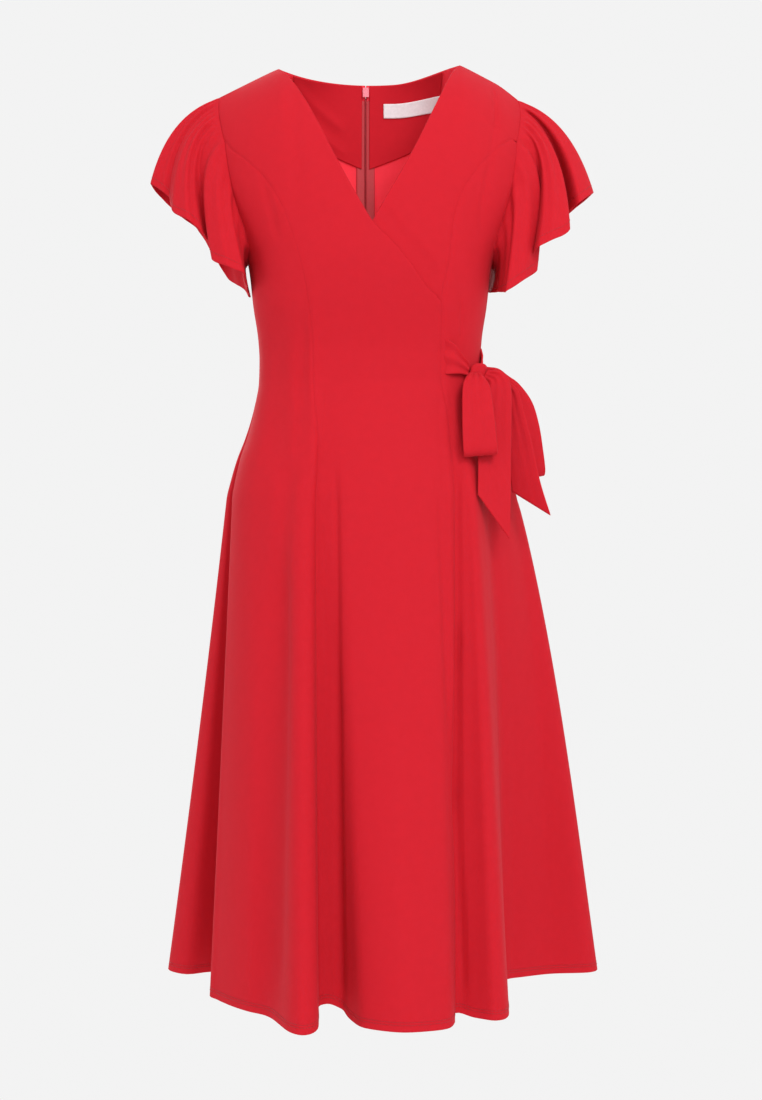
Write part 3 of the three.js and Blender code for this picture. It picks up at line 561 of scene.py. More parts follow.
@dataclass(frozen=True)
class Seams:
    """The seams and edges of the dress, as angles for each level."""

    shape: DressShape
    right_princess_row: int = 11
    left_princess_row: int = 21
    right_side_row: int = 0
    left_side_row: int = 32
    slit_from: float = -30.0
    slit_ease: float = 14.0

    def arm(self, level: Array, face: str) -> Array:
        """The armhole's edge.

        Args:
            level: heights.
            face: the column to read, front or back.

        Returns:
            Angles from the front or back centre, 90 at and below the underarm.
        """
        angle = ARMHOLE.read("level", face, level)
        return np.where(level <= self.shape.arm_level, 90.0, angle)

    def settle(self, level: Array, upper: Array, hip: float) -> Array:
        """Eases a seam from its place above the waist to its angle at the hip.

        Args:
            level: heights.
            upper: the angle that it has higher up.
            hip: the angle that it keeps from the hip down.

        Returns:
            Angles.
        """
        shape = self.shape
        share = (shape.fold_level - level) / (shape.fold_level - shape.hip_level)
        return upper + (hip - upper) * smooth(share)

    def princess(self, level: Array, side: Side) -> Array:
        """The princess seam of one side.

        Args:
            level: heights.
            side: the wearer's right or left.

        Returns:
            Angles.
        """
        upper = np.maximum(level, self.shape.hip_level)
        angles = FOLDS.column("angle")
        if side is Side.RIGHT:
            x = PRINCESS.read("level", "right", upper)
            seam = -self.shape.angle_at(x, upper)
            return self.settle(level, seam, angles[self.right_princess_row])
        x = PRINCESS.read("level", "left", upper)
        seam = self.shape.angle_at(x, upper)
        return self.settle(level, seam, angles[self.left_princess_row])

    def side(self, level: Array, side: Side) -> Array:
        """The side seam, from the underarm to the hem.

        Args:
            level: heights.
            side: the wearer's right or left.

        Returns:
            Angles from the front centre.
        """
        angles = FOLDS.column("angle")
        if side is Side.RIGHT:
            return self.settle(level, np.full(level.shape, -90.0), angles[self.right_side_row])
        return self.settle(level, np.full(level.shape, 90.0), angles[self.left_side_row])

    def front_outer(self, level: Array, side: Side) -> Array:
        """The outer edge of a side front: armhole above, side seam below.

        Args:
            level: heights.
            side: the wearer's right or left.

        Returns:
            Angles from the front centre.
        """
        above = side.value * self.arm(level, "front")
        return np.where(level > self.shape.arm_level, above, self.side(level, side))

    def back_outer(self, level: Array, side: Side) -> Array:
        """The outer edge of a back panel: armhole above, side seam below.

        Args:
            level: heights.
            side: the wearer's right or left.

        Returns:
            Angles from the front centre, above 180 on the wearer's right.
        """
        arm = self.arm(level, "back")
        seam = self.side(level, side)
        if side is Side.RIGHT:
            return np.where(level > self.shape.arm_level, 180.0 + arm, 360.0 + seam)
        return np.where(level > self.shape.arm_level, 180.0 - arm, seam)

    def over_left(self, level: Array) -> Array:
        """The over front's armhole edge and then its princess seam, for each level."""
        high = level > PRINCESS.column("level")[0]
        return np.where(high, -self.arm(level, "front"), self.princess(level, Side.RIGHT))

    def over_right(self, level: Array) -> Array:
        """The over front's neck edge and then its princess seam, for each level."""
        neck = self.shape.angle_at(NECK_EDGE.read("level", "over", level), level)
        return np.where(level <= self.shape.wrap_level, self.princess(level, Side.LEFT), neck)

    def under_left(self, level: Array) -> Array:
        """The under front's neck edge, for each level."""
        return self.shape.angle_at(NECK_EDGE.read("level", "under", level), level)

    def under_right(self, level: Array) -> Array:
        """The under front's armhole edge and then its princess seam, for each level."""
        high = level > PRINCESS.column("level")[0]
        return np.where(high, self.arm(level, "front"), self.princess(level, Side.LEFT))

    def zip_edge(self, level: Array, side: Side) -> Array:
        """The back panels' edge along the zip and the centre back seam.

        Args:
            level: heights.
            side: the wearer's right or left.

        Returns:
            Angles near 180.
        """
        shape = self.shape
        share = smooth((level - self.slit_from) / self.slit_ease)
        half = shape.seam / 2 + (shape.zip_half - shape.seam / 2) * share
        return 180.0 - side.value * half * shape.per_mm(np.full(level.shape, 180.0), level)


class NodeTree:
    """Builds a material's node tree by name, with constants set on the shader's own sockets."""

    def __init__(self, name: str) -> None:
        """Starts an empty material.

        Args:
            name: the material's name.
        """
        self.material = bpy.data.materials.new(name)
        self.material.use_nodes = True
        self.tree = self.material.node_tree
        self.tree.nodes.clear()
        self.output = self.tree.nodes.new("ShaderNodeOutputMaterial")
        self.shader = self.tree.nodes.new("ShaderNodeBsdfPrincipled")
        self.link(self.shader.outputs["BSDF"], self.output.inputs["Surface"])
        self.place = self.tree.nodes.new("ShaderNodeTexCoord").outputs["Object"]

    def link(self, start: Socket, end: Socket) -> None:
        """Joins an output socket to an input socket."""
        self.tree.links.new(start, end)

    def noise(
        self, scale: float, detail: float = 2.0, vector: Optional[Socket] = None
    ) -> Socket:
        """Adds cloudy noise in object space.

        Args:
            scale: clouds for each metre.
            detail: how many finer layers it has.
            vector: the coordinates, or None for the object's own.

        Returns:
            The noise's value socket.
        """
        node = self.tree.nodes.new("ShaderNodeTexNoise")
        node.inputs["Scale"].default_value = scale
        node.inputs["Detail"].default_value = detail
        node.inputs["Roughness"].default_value = 0.55
        self.link(vector or self.place, node.inputs["Vector"])
        return node.outputs["Fac"]

    def stretch(self, scale: Triple) -> Socket:
        """Scales the object coordinates by three factors.

        Args:
            scale: factors along x, y and z.

        Returns:
            The scaled coordinates' socket.
        """
        node = self.tree.nodes.new("ShaderNodeMapping")
        node.inputs["Scale"].default_value = scale
        self.link(self.place, node.inputs["Vector"])
        return node.outputs["Vector"]

    def ramp(self, fac: Socket, low: float, high: float, dark: Triple, light: Triple) -> Socket:
        """Maps a value between two colours.

        Args:
            fac: the value's socket.
            low: the value that gives the first colour.
            high: the value that gives the second.
            dark: the first colour, linear red, green and blue.
            light: the second colour.

        Returns:
            The colour's socket.
        """
        node = self.tree.nodes.new("ShaderNodeValToRGB")
        first, last = node.color_ramp.elements
        first.position, last.position = low, high
        first.color, last.color = (*dark, 1.0), (*light, 1.0)
        self.link(fac, node.inputs["Fac"])
        return node.outputs["Color"]

    def bump(
        self, height: Socket, distance: float, strength: float,
        below: Optional[Socket] = None,
    ) -> Socket:
        """Adds a bump to the shader's normal.

        Args:
            height: the height's socket.
            distance: metres between a height of 0 and 1.
            strength: how much of it is used.
            below: the normal of an earlier bump, or None.

        Returns:
            The normal's socket.
        """
        node = self.tree.nodes.new("ShaderNodeBump")
        node.inputs["Distance"].default_value = distance
        node.inputs["Strength"].default_value = strength
        self.link(height, node.inputs["Height"])
        if below is not None:
            self.link(below, node.inputs["Normal"])
        return node.outputs["Normal"]

    def feed(self, name: str, socket: Socket) -> None:
        """Leads a socket into one of the shader's inputs."""
        self.link(socket, self.shader.inputs[name])

    def fix(self, **values: float) -> None:
        """Sets constants on the shader, with spaces written as underscores."""
        for name, value in values.items():
            self.shader.inputs[name.replace("_", " ")].default_value = value


@dataclass(frozen=True)
class CrepeFinish:
    """Matt stretch crepe: a fine pebbled grain, faint mottling and a soft bloom."""

    name: str
    base: Triple
    spread: float = 0.02
    roughness: float = 0.85
    sheen: float = 0.03
    glow: float = 0.0
    mottle_mm: float = 9.0
    grain_mm: float = 0.7
    crinkle: float = 2.6
    grain_depth_mm: float = 0.10
    dimple_mm: float = 26.0
    dimple_depth_mm: float = 0.5

    def build(self) -> Material:
        """Makes the material.

        Returns:
            The new material.
        """
        nodes = NodeTree(self.name)
        dark = tuple(c * (1.0 - self.spread) for c in self.base)
        light = tuple(min(1.0, c * (1.0 + self.spread)) for c in self.base)
        mottle = nodes.noise(1000.0 / self.mottle_mm, 4.0)
        nodes.feed("Base Color", nodes.ramp(mottle, 0.3, 0.7, dark, light))
        nodes.fix(Roughness=self.roughness, Sheen_Weight=self.sheen, Sheen_Roughness=0.45)
        nodes.fix(Specular_IOR_Level=0.16, Subsurface_Weight=self.glow, Subsurface_Scale=0.004)
        nodes.shader.inputs["Subsurface Radius"].default_value = (1.0, 0.15, 0.15)
        nodes.shader.inputs["Sheen Tint"].default_value = (1.0, 0.35, 0.40, 1.0)
        soft = nodes.bump(
            nodes.noise(1000.0 / self.dimple_mm, 1.0), self.dimple_depth_mm * MM, 0.5
        )
        size = self.crinkle * self.grain_mm
        folds = nodes.noise(1000.0 / size, 2.0, nodes.stretch((1, 1, 0.6)))
        middle = nodes.bump(folds, self.grain_depth_mm * 1.3 * MM, 0.6, soft)
        grain = nodes.noise(1000.0 / self.grain_mm, 3.0)
        last = nodes.bump(grain, self.grain_depth_mm * MM, 0.8, middle)
        nodes.feed("Normal", last)
        return nodes.material


@dataclass(frozen=True)
class WovenFinish:
    """A woven narrow cloth: fine ribs across it, for tape, label and thread."""

    name: str
    base: Triple
    rib_mm: float = 0.6
    roughness: float = 0.6
    sheen: float = 0.05

    def build(self) -> Material:
        """Makes the material.

        Returns:
            The new material.
        """
        nodes = NodeTree(self.name)
        dark = tuple(c * 0.9 for c in self.base)
        fleck = nodes.noise(1000.0 / 3.0, 3.0)
        nodes.feed("Base Color", nodes.ramp(fleck, 0.3, 0.7, dark, self.base))
        nodes.fix(Roughness=self.roughness, Sheen_Weight=self.sheen)
        wave = nodes.tree.nodes.new("ShaderNodeTexWave")
        wave.bands_direction = "Z"
        wave.inputs["Scale"].default_value = 1000.0 / self.rib_mm / 20.0 * 6.0
        wave.inputs["Distortion"].default_value = 1.5
        nodes.link(nodes.place, wave.inputs["Vector"])
        last = nodes.bump(wave.outputs["Fac"], 0.05 * MM, 0.7)
        nodes.feed("Normal", last)
        return nodes.material


@dataclass(frozen=True)
class EnamelFinish:
    """Baked enamel on small metal fittings, a little worn and clouded."""

    name: str
    base: Triple
    roughness: float = 0.34

    def build(self) -> Material:
        """Makes the material.

        Returns:
            The new material.
        """
        nodes = NodeTree(self.name)
        cloud = nodes.noise(500.0, 3.0)
        worn = tuple(min(1.0, c * 1.35 + 0.02) for c in self.base)
        nodes.feed("Base Color", nodes.ramp(cloud, 0.45, 0.85, self.base, worn))
        nodes.fix(Roughness=self.roughness, Specular_IOR_Level=0.5, Coat_Weight=0.3)
        nodes.feed("Normal", nodes.bump(cloud, 0.02 * MM, 0.5))
        return nodes.material


@dataclass(frozen=True)
class Finishes:
    """Every finish of the dress, made once."""

    crepe: Material
    # the same crepe in a paler colour: painted light on the wrong side
    wrong_side: Material
    facing: Material
    thread: Material
    tape: Material
    coil: Material
    label: Material
    enamel: Material

    @classmethod
    def make(cls) -> "Finishes":
        """Makes all the materials.

        Returns:
            The set of finishes.
        """
        return cls(
            crepe=CrepeFinish("red_crepe", (0.485, 0.0080, 0.0174), glow=0.25).build(),
            # Wrong side: the same crepe in a paler colour. This is painted light, standing in for
            # light that falls onto and shines through the single layer; its glow is real
            # scattering.
            wrong_side=CrepeFinish("crepe_wrong_side", (0.83, 0.041, 0.068), glow=0.3).build(),
            facing=CrepeFinish("facing_crepe", (0.53, 0.0097, 0.0203)).build(),
            thread=WovenFinish("red_thread", (0.33, 0.006, 0.013), rib_mm=0.3).build(),
            tape=WovenFinish("zip_tape_weave", (0.48, 0.012, 0.024), rib_mm=0.8).build(),
            coil=WovenFinish("zip_coil_nylon", (0.42, 0.016, 0.028), 0.5, 0.4).build(),
            label=WovenFinish("label_satin", (0.82, 0.80, 0.82), 0.5, 0.45, 0.1).build(),
            enamel=EnamelFinish("zip_enamel", (0.66, 0.10, 0.15)).build(),
        )


def net(number: Array, closed: bool = False) -> Array:
    """Lists the quads of a grid of vertex numbers.

    Args:
        number: vertex numbers, rows by columns, or a stack of such grids.
        closed: whether the last column is followed by the first.

    Returns:
        Four vertex numbers for each quad.
    """
    if closed:
        number = np.concatenate([number, number[..., :1]], axis=-1)
    near, far = number[..., :-1, :], number[..., 1:, :]
    corners = near[..., :-1], near[..., 1:], far[..., 1:], far[..., :-1]
    return np.stack(corners, axis=-1).reshape(-1, 4)


@dataclass
class Wall:
    """A sheet of cloth of real thickness with rounded edges, over a grid of points."""

    name: str
    face: Array
    inward: Array
    thick: float
    closed: bool = False
    bulge: float = 0.42

    def rim(self) -> tuple[list[Array], Array]:
        """Finds the grid's edges and the way out of the sheet there.

        Returns:
            Each edge as a closed ring of vertex numbers, and for every vertex the unit
            direction that leads off the sheet.
        """
        rows, columns = self.face.shape[:2]
        number = np.arange(rows * columns).reshape(rows, columns)
        away = np.zeros_like(self.face)
        away[0] += self.face[0] - self.face[1]
        away[-1] += self.face[-1] - self.face[-2]
        if self.closed:
            return [number[0], number[-1][::-1]], unit(away)
        away = unit(away)
        away[:, 0] += unit(self.face[:, 0] - self.face[:, 1])
        away[:, -1] += unit(self.face[:, -1] - self.face[:, -2])
        ring = [number[0, :-1], number[:-1, -1], number[-1, :0:-1], number[:0:-1, 0]]
        return [np.concatenate(ring)], unit(away)

    def faces(self) -> tuple[Array, Array, Array]:
        """Lists vertices and quads: right side, wrong side, and a rounded rim between them.

        Returns:
            The points, the quads, and for each quad whether it is on the wrong side.
        """
        rows, columns = self.face.shape[:2]
        count = rows * columns
        outer = net(np.arange(count).reshape(rows, columns), self.closed)
        back = outer[:, ::-1] + count
        rings, away = self.rim()
        flat, into = self.face.reshape(-1, 3), self.inward.reshape(-1, 3)
        off = away.reshape(-1, 3)
        points = [flat, flat + into * self.thick]
        quads, wrong = [outer, back], [np.zeros(len(outer)), np.ones(len(back))]
        start = 2 * count
        for ring in rings:
            middle = flat[ring] + into[ring] * self.thick / 2
            points.append(middle + off[ring] * self.thick * self.bulge)
            mid = start + np.arange(len(ring))
            start += len(ring)
            onward = np.roll(ring, -1)
            quads.append(np.stack([ring, mid, np.roll(mid, -1), onward], axis=-1))
            quads.append(
                np.stack([mid, ring + count, onward + count, np.roll(mid, -1)], axis=-1)
            )
            wrong += [np.zeros(len(ring)), np.zeros(len(ring))]
        return np.concatenate(points), np.concatenate(quads), np.concatenate(wrong)

    def build(self, finish: Material, wrong: Material) -> Piece:
        """Makes the mesh object.

        Args:
            finish: the material of the right side and the rim.
            wrong: the material of the wrong side.

        Returns:
            The new object.
        """
        points, quads, back = self.faces()
        steps = np.cross(
            self.face[:-1, 1:] - self.face[:-1, :-1], self.face[1:, :-1] - self.face[:-1, :-1]
        )
        if np.sum(steps * self.inward[:-1, :-1]) > 0:
            quads = quads[:, ::-1]
        return mesh_object(self.name, points, quads, [finish, wrong], back)

    def lay(
        self, held: Held, slot: str, node: str, finish: Material, wrong: Optional[Material] = None
    ) -> None:
        """Args:
            held: how it is held; not used.
            slot: the record's material slot.
            node: the CAD node that it replaces.
            finish: the material of its right side.
            wrong: the material of its wrong side, or None for the same.
        """
        obj = self.build(finish, wrong or finish)
        adopt(obj, slot, "dress", node)
        self.declare()

    def declare(self) -> None:
        face = self.face
        if self.closed:
            face = np.concatenate([face, face[:, :1]], axis=1)


def mesh_object(
    name: str, points: Array, quads: Array, finishes: Sequence[Material],
    index: Optional[Array] = None,
) -> Piece:
    """Puts whole arrays of points and quads into a new object at the origin.

    Args:
        name: the object's name.
        points: vertices in millimetres.
        quads: four vertex numbers for each face.
        finishes: the materials of its slots.
        index: the slot of each face, or None for the first.

    Returns:
        The new object.
    """
    mesh = bpy.data.meshes.new(name)
    mesh.vertices.add(len(points))
    mesh.vertices.foreach_set("co", (points * MM).astype(np.float32).ravel())
    mesh.loops.add(quads.size)
    mesh.loops.foreach_set("vertex_index", quads.astype(np.int32).ravel())
    mesh.polygons.add(len(quads))
    mesh.polygons.foreach_set("loop_start", np.arange(0, quads.size, 4, dtype=np.int32))
    mesh.polygons.foreach_set("use_smooth", np.ones(len(quads), dtype=bool))
    for finish in finishes:
        mesh.materials.append(finish)
    if index is not None:
        mesh.polygons.foreach_set("material_index", np.asarray(index, dtype=np.int32))
    mesh.update(calc_edges=True)
    mesh.validate()
    obj = bpy.data.objects.new(name, mesh)
    bpy.context.scene.collection.objects.link(obj)
    return obj


def adopt(obj: Piece, slot: str, body: str, *nodes: str) -> None:
    """Gives a piece its body, hides the nodes that it stands for and logs its material slot.

    Args:
        obj: the piece.
        slot: the record's material slot.
        body: the body it moves with.
        nodes: CAD nodes it replaces.
    """
    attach(obj, body)
    if nodes:
        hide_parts(*nodes)
    LOG.info("%s: %d faces, slot %s, for %s", obj.name, len(obj.data.polygons), slot, nodes)


def capsules(
    name: str, start: Array, end: Array, side: Array, radius: float, finish: Material
) -> Piece:
    """Makes a row of short threads, each a six-sided spindle from start to end.

    Every thread is a tube of four rings whose radius follows a half ellipse.

    Args:
        name: the object's name.
        start: first ends, in millimetres.
        end: last ends.
        side: a unit vector across each thread.
        radius: the thread's half thickness.
        finish: its material.

    Returns:
        The new object.
    """
    along = unit(end - start)
    other = unit(np.cross(along, side))
    first = unit(np.cross(other, along))
    turn = np.arange(6) * np.pi / 3
    place = np.array([0.0, 0.12, 0.88, 1.0])
    girth = np.array([0.25, 1.0, 1.0, 0.25]) * radius
    spine = start[:, None] + (end - start)[:, None] * place[None, :, None]
    ring = np.cos(turn)[:, None] * first[:, None, None]
    ring = ring + np.sin(turn)[:, None] * other[:, None, None]
    points = spine[:, :, None] + ring * girth[None, :, None, None]
    count = len(start)
    number = np.arange(count * len(place) * len(turn)).reshape(count, len(place), len(turn))
    cap = number[:, 0, [0, 5, 4, 3]], number[:, 0, [0, 3, 2, 1]]
    lid = number[:, 3, [0, 1, 2, 3]], number[:, 3, [0, 3, 4, 5]]
    quads = np.concatenate([net(number, closed=True), *cap, *lid])
    return mesh_object(name, points.reshape(-1, 3), quads, [finish])


@dataclass
class Panel:
    """One cut-and-sewn panel of the dress, from its top level to its last."""

    name: str
    node: str
    left: Curve
    right: Curve
    top: float
    bottom: float
    shape: DressShape
    sewn_left: Curve
    sewn_right: Curve
    columns: int = 64
    thick: float = 1.5
    tuck: Optional[Callable[[Array, Array], Array]] = None
    edge_share: float = 0.004
    seam_dip: float = 0.55
    seam_wide: float = 2.4
    hem_turn: float = 9.3
    hem_groove: float = 0.14
    hem_groove_wide: float = 1.3
    ease: float = 0.0
    ease_level: float = -235.0
    ease_wide: float = 55.0
    samples: int = 481
    hip_row: float = -520.0
    edge_step: float = 0.9
    hem_close: tuple[float, float] = (2.0, 13.0)
    waist_weight: float = 0.8

    def levels(self) -> Array:
        """The panel's rows: close together above the hip, wider down the skirt, and a last
        pair at each free end that keeps the rounded edge narrow.

        Returns:
            Levels, from the top down.
        """
        arm, hem = self.shape.arm_level, self.shape.hem_level
        fine = np.linspace(0.0, arm, 81)
        hip = np.linspace(arm, self.hip_row, 76)[1:]
        skirt = np.linspace(self.hip_row, hem, 72)[1:]
        rows = np.concatenate([fine, hip, skirt])
        rows = rows[(rows < self.top) & (rows > self.bottom)]
        step = self.edge_step
        close = [self.top, self.top - step, self.bottom + step, self.bottom]
        if self.bottom == hem:
            close += (self.bottom + np.linspace(*self.hem_close, 12)).tolist()
        return np.array(sorted({*rows.tolist(), *close}, reverse=True))

    def shares(self) -> Array:
        """Spreads the columns so that hem and hip are both followed: equal steps of the arc
        length at the hem plus four fifths of that at the waist.

        Returns:
            Shares of the way across, from 0 to 1.
        """
        hem = np.array([self.shape.hem_level])
        start, end = float(self.left(hem)[0]), float(self.right(hem)[0])
        angle = np.linspace(start, end, self.samples)
        low = self.shape.point(angle, np.full(self.samples, self.shape.hem_level))
        high = self.shape.point(angle, np.full(self.samples, self.shape.fold_level))
        step = np.linalg.norm(np.diff(low, axis=0), axis=-1)
        step = step + self.waist_weight * np.linalg.norm(np.diff(high, axis=0), axis=-1)
        length = np.concatenate([[0.0], np.cumsum(step)])
        even = np.linspace(0.0, length[-1], self.columns + 1)
        inner = np.interp(even, length, np.linspace(0.0, 1.0, self.samples))[1:-1]
        edge = self.edge_share
        return np.concatenate([[0.0, edge], inner, [1.0 - edge, 1.0]])

    def wall(self) -> Wall:
        """Works out the panel's surface.

        A point is the dress's surface between the panel's two edges, sunk a little along sewn
        edges as a bell of the distance to the seam, less so where the cloth is eased, and
        raised along the soft creases.

        Returns:
            The panel as a wall of cloth.
        """
        level = self.levels()
        share = self.shares()
        shape = self.shape
        a, b = self.left(level), self.right(level)
        start = a + shape.seam / 2 * shape.per_mm(a, level)
        end = b - shape.seam / 2 * shape.per_mm(b, level)
        angle = start[:, None] + (end - start)[:, None] * share[None, :]
        turn = angle.copy()
        turn[:, 0], turn[:, -1] = a, b
        grid = np.broadcast_to(level[:, None], angle.shape)
        point, normal = shape.point(angle, grid), shape.normal(turn, grid)
        width = np.linalg.norm(np.diff(point, axis=1), axis=-1)
        run = np.concatenate([np.zeros((len(level), 1)), np.cumsum(width, axis=1)], axis=1)
        dip = bell(run, self.seam_wide) * self.sewn_left(grid)
        dip = dip + bell(run[:, -1:] - run, self.seam_wide) * self.sewn_right(grid)
        eased = 1.0 - self.ease * bell(grid - self.ease_level, self.ease_wide)
        front = point[..., 1] < 0
        raised = -self.seam_dip * dip * eased + front * creases(point, CREASES)
        groove = bell(grid - self.shape.hem_level - self.hem_turn, self.hem_groove_wide)
        raised = raised - self.hem_groove * groove
        if self.tuck is not None:
            raised = raised - self.tuck(point[..., 0], grid)
        point = point + normal * raised[..., None]
        return Wall(self.name, point, -normal, self.thick)

    def make(self, finishes: Finishes) -> Wall:
        """Builds the panel.

        Args:
            finishes: the dress's materials.

        Returns:
            Its wall.
        """
        wall = self.wall()
        # The wrong side takes the paler crepe, whose extra brightness is painted light.
        wall.lay(Held.HUNG, "crepe", self.node, finishes.crepe, finishes.wrong_side)
        return wall


def creases(point: Array, table: Table) -> Array:
    """Height of the soft creases: bells across each line, fading at its ends.

    Args:
        point: points of the dress.
        table: the creases, by their ends in x and z.

    Returns:
        Heights in millimetres.
    """
    x, z = point[..., 0], point[..., 2]
    total = np.zeros(x.shape)
    for x0, z0, x1, z1, wide, high in table.rows:
        dx, dz = x1 - x0, z1 - z0
        size = dx * dx + dz * dz
        t = ((x - x0) * dx + (z - z0) * dz) / size
        off = np.abs((x - x0) * dz - (z - z0) * dx) / math.sqrt(size)
        fade = smooth(t / CREASE_FADE + 0.5) * smooth((1.0 - t) / CREASE_FADE + 0.5)
        total = total + high * bell(off, wide) * fade
    return total


@dataclass
class DressBody:
    """The long panels: two fronts, two side fronts and two backs, with their stitching."""

    shape: DressShape = field(default_factory=DressShape)
    tuck_reach: float = 34.0
    tuck_ease: float = 16.0
    tuck_least: float = 4.0
    stitch: float = 3.2
    stitch_gap: float = 0.9
    hem_rows: tuple[float, ...] = (6.5, 9.3)
    thread: float = 0.28

    def __post_init__(self) -> None:
        """Sets up the seams."""
        self.seams = Seams(self.shape)

    def lap_depth(self, x: Array, level: Array) -> Array:
        """How far the under front slips behind the over front near its edge.

        Args:
            x: distance from the centre plane.
            level: heights.

        Returns:
            Depths in millimetres, the lap times an ease over the last few centimetres.
        """
        edge = NECK_EDGE.read("level", "over", np.maximum(level, self.shape.wrap_level))
        seam = PRINCESS.read("level", "left", level)
        room = np.clip(seam - edge, self.tuck_least, self.tuck_reach)
        return self.shape.lap * smooth((edge + room - x) / np.minimum(room, self.tuck_ease))

    def panels(self) -> list[Panel]:
        """Lists the six panels with their edges and which of those are sewn.

        Returns:
            The panels, from the over front round to the backs.
        """
        seams, shape = self.seams, self.shape
        high = PRINCESS.column("level")[0]
        hem = shape.hem_level

        def below(line: float) -> Curve:
            """An edge that is sewn below a level."""
            return lambda level: (level <= line).astype(float)

        def nowhere(level: Array) -> Array:
            """An edge that is sewn nowhere."""
            return np.zeros(level.shape)

        right, left = Side.RIGHT, Side.LEFT
        return [
            Panel("over_front_cloth", "front_over", seams.over_left, seams.over_right,
                  0.0, hem, shape, below(high), below(shape.wrap_level), 84, ease=0.85),
            Panel("under_front_cloth", "front_under", seams.under_left, seams.under_right,
                  0.0, shape.under_end, shape, nowhere, below(high), 64, tuck=self.lap_depth),
            Panel("side_front_right_cloth", "side_front_right",
                  partial(seams.front_outer, side=right),
                  partial(seams.princess, side=right),
                  high, hem, shape, below(shape.arm_level), below(high), 76, ease=0.85),
            Panel("side_front_left_cloth", "side_front_left",
                  partial(seams.princess, side=left),
                  partial(seams.front_outer, side=left),
                  high, hem, shape, below(high), below(shape.arm_level), 84),
            Panel("back_left_cloth", "back_left",
                  partial(seams.back_outer, side=left),
                  partial(seams.zip_edge, side=left),
                  0.0, hem, shape, below(shape.arm_level), below(0.0), 84),
            Panel("back_right_cloth", "back_right",
                  partial(seams.zip_edge, side=right),
                  partial(seams.back_outer, side=right),
                  0.0, hem, shape, below(0.0), below(shape.arm_level), 84),
        ]

    def stitches(self, name: str, path: Array, normal: Array, finish: Material) -> None:
        """Sews a row of stitches along a path on the cloth.

        Args:
            name: the piece's name.
            path: points along the row.
            normal: directions out of the cloth there.
            finish: the thread's material.
        """
        step = np.linalg.norm(np.diff(path, axis=0), axis=-1)
        run = np.concatenate([[0.0], np.cumsum(step)])
        begin = np.arange(1.0, run[-1] - self.stitch, self.stitch)

        def at(values: Array, place: Array) -> Array:
            """Reads an array of vectors at distances along the path."""
            return np.stack([np.interp(place, run, values[:, k]) for k in range(3)], axis=-1)

        end = begin + self.stitch - self.stitch_gap
        out = unit(at(normal, begin))
        lift = out * self.thread * 0.5
        first, last = at(path, begin) + lift, at(path, end) + lift
        adopt(capsules(name, first, last, out, self.thread, finish), "crepe", "dress")

    def make(self, finishes: Finishes) -> None:
        """Builds the panels and the double row of stitching along the hem.

        Args:
            finishes: the dress's materials.
        """
        for panel in self.panels():
            wall = panel.make(finishes)
            if panel.bottom > self.shape.hem_level:
                continue
            hem = wall.face[-1]
            run = np.linalg.norm(np.diff(wall.face, axis=0), axis=-1)[::-1].cumsum(axis=0)
            for number, up in enumerate(self.hem_rows):
                row = len(wall.face) - 2 - int(np.searchsorted(run.mean(axis=1), up))
                low, high = wall.face[row + 1], wall.face[row]
                reach = np.linalg.norm(low - hem, axis=-1, keepdims=True)
                climb = np.linalg.norm(high - low, axis=-1, keepdims=True)
                path = low + (high - low) * np.clip((up - reach) / climb, 0, 1)
                name = f"{panel.node}_hem_stitch_{number + 1}"
                self.stitches(name, path, -wall.inward[row], finishes.thread)


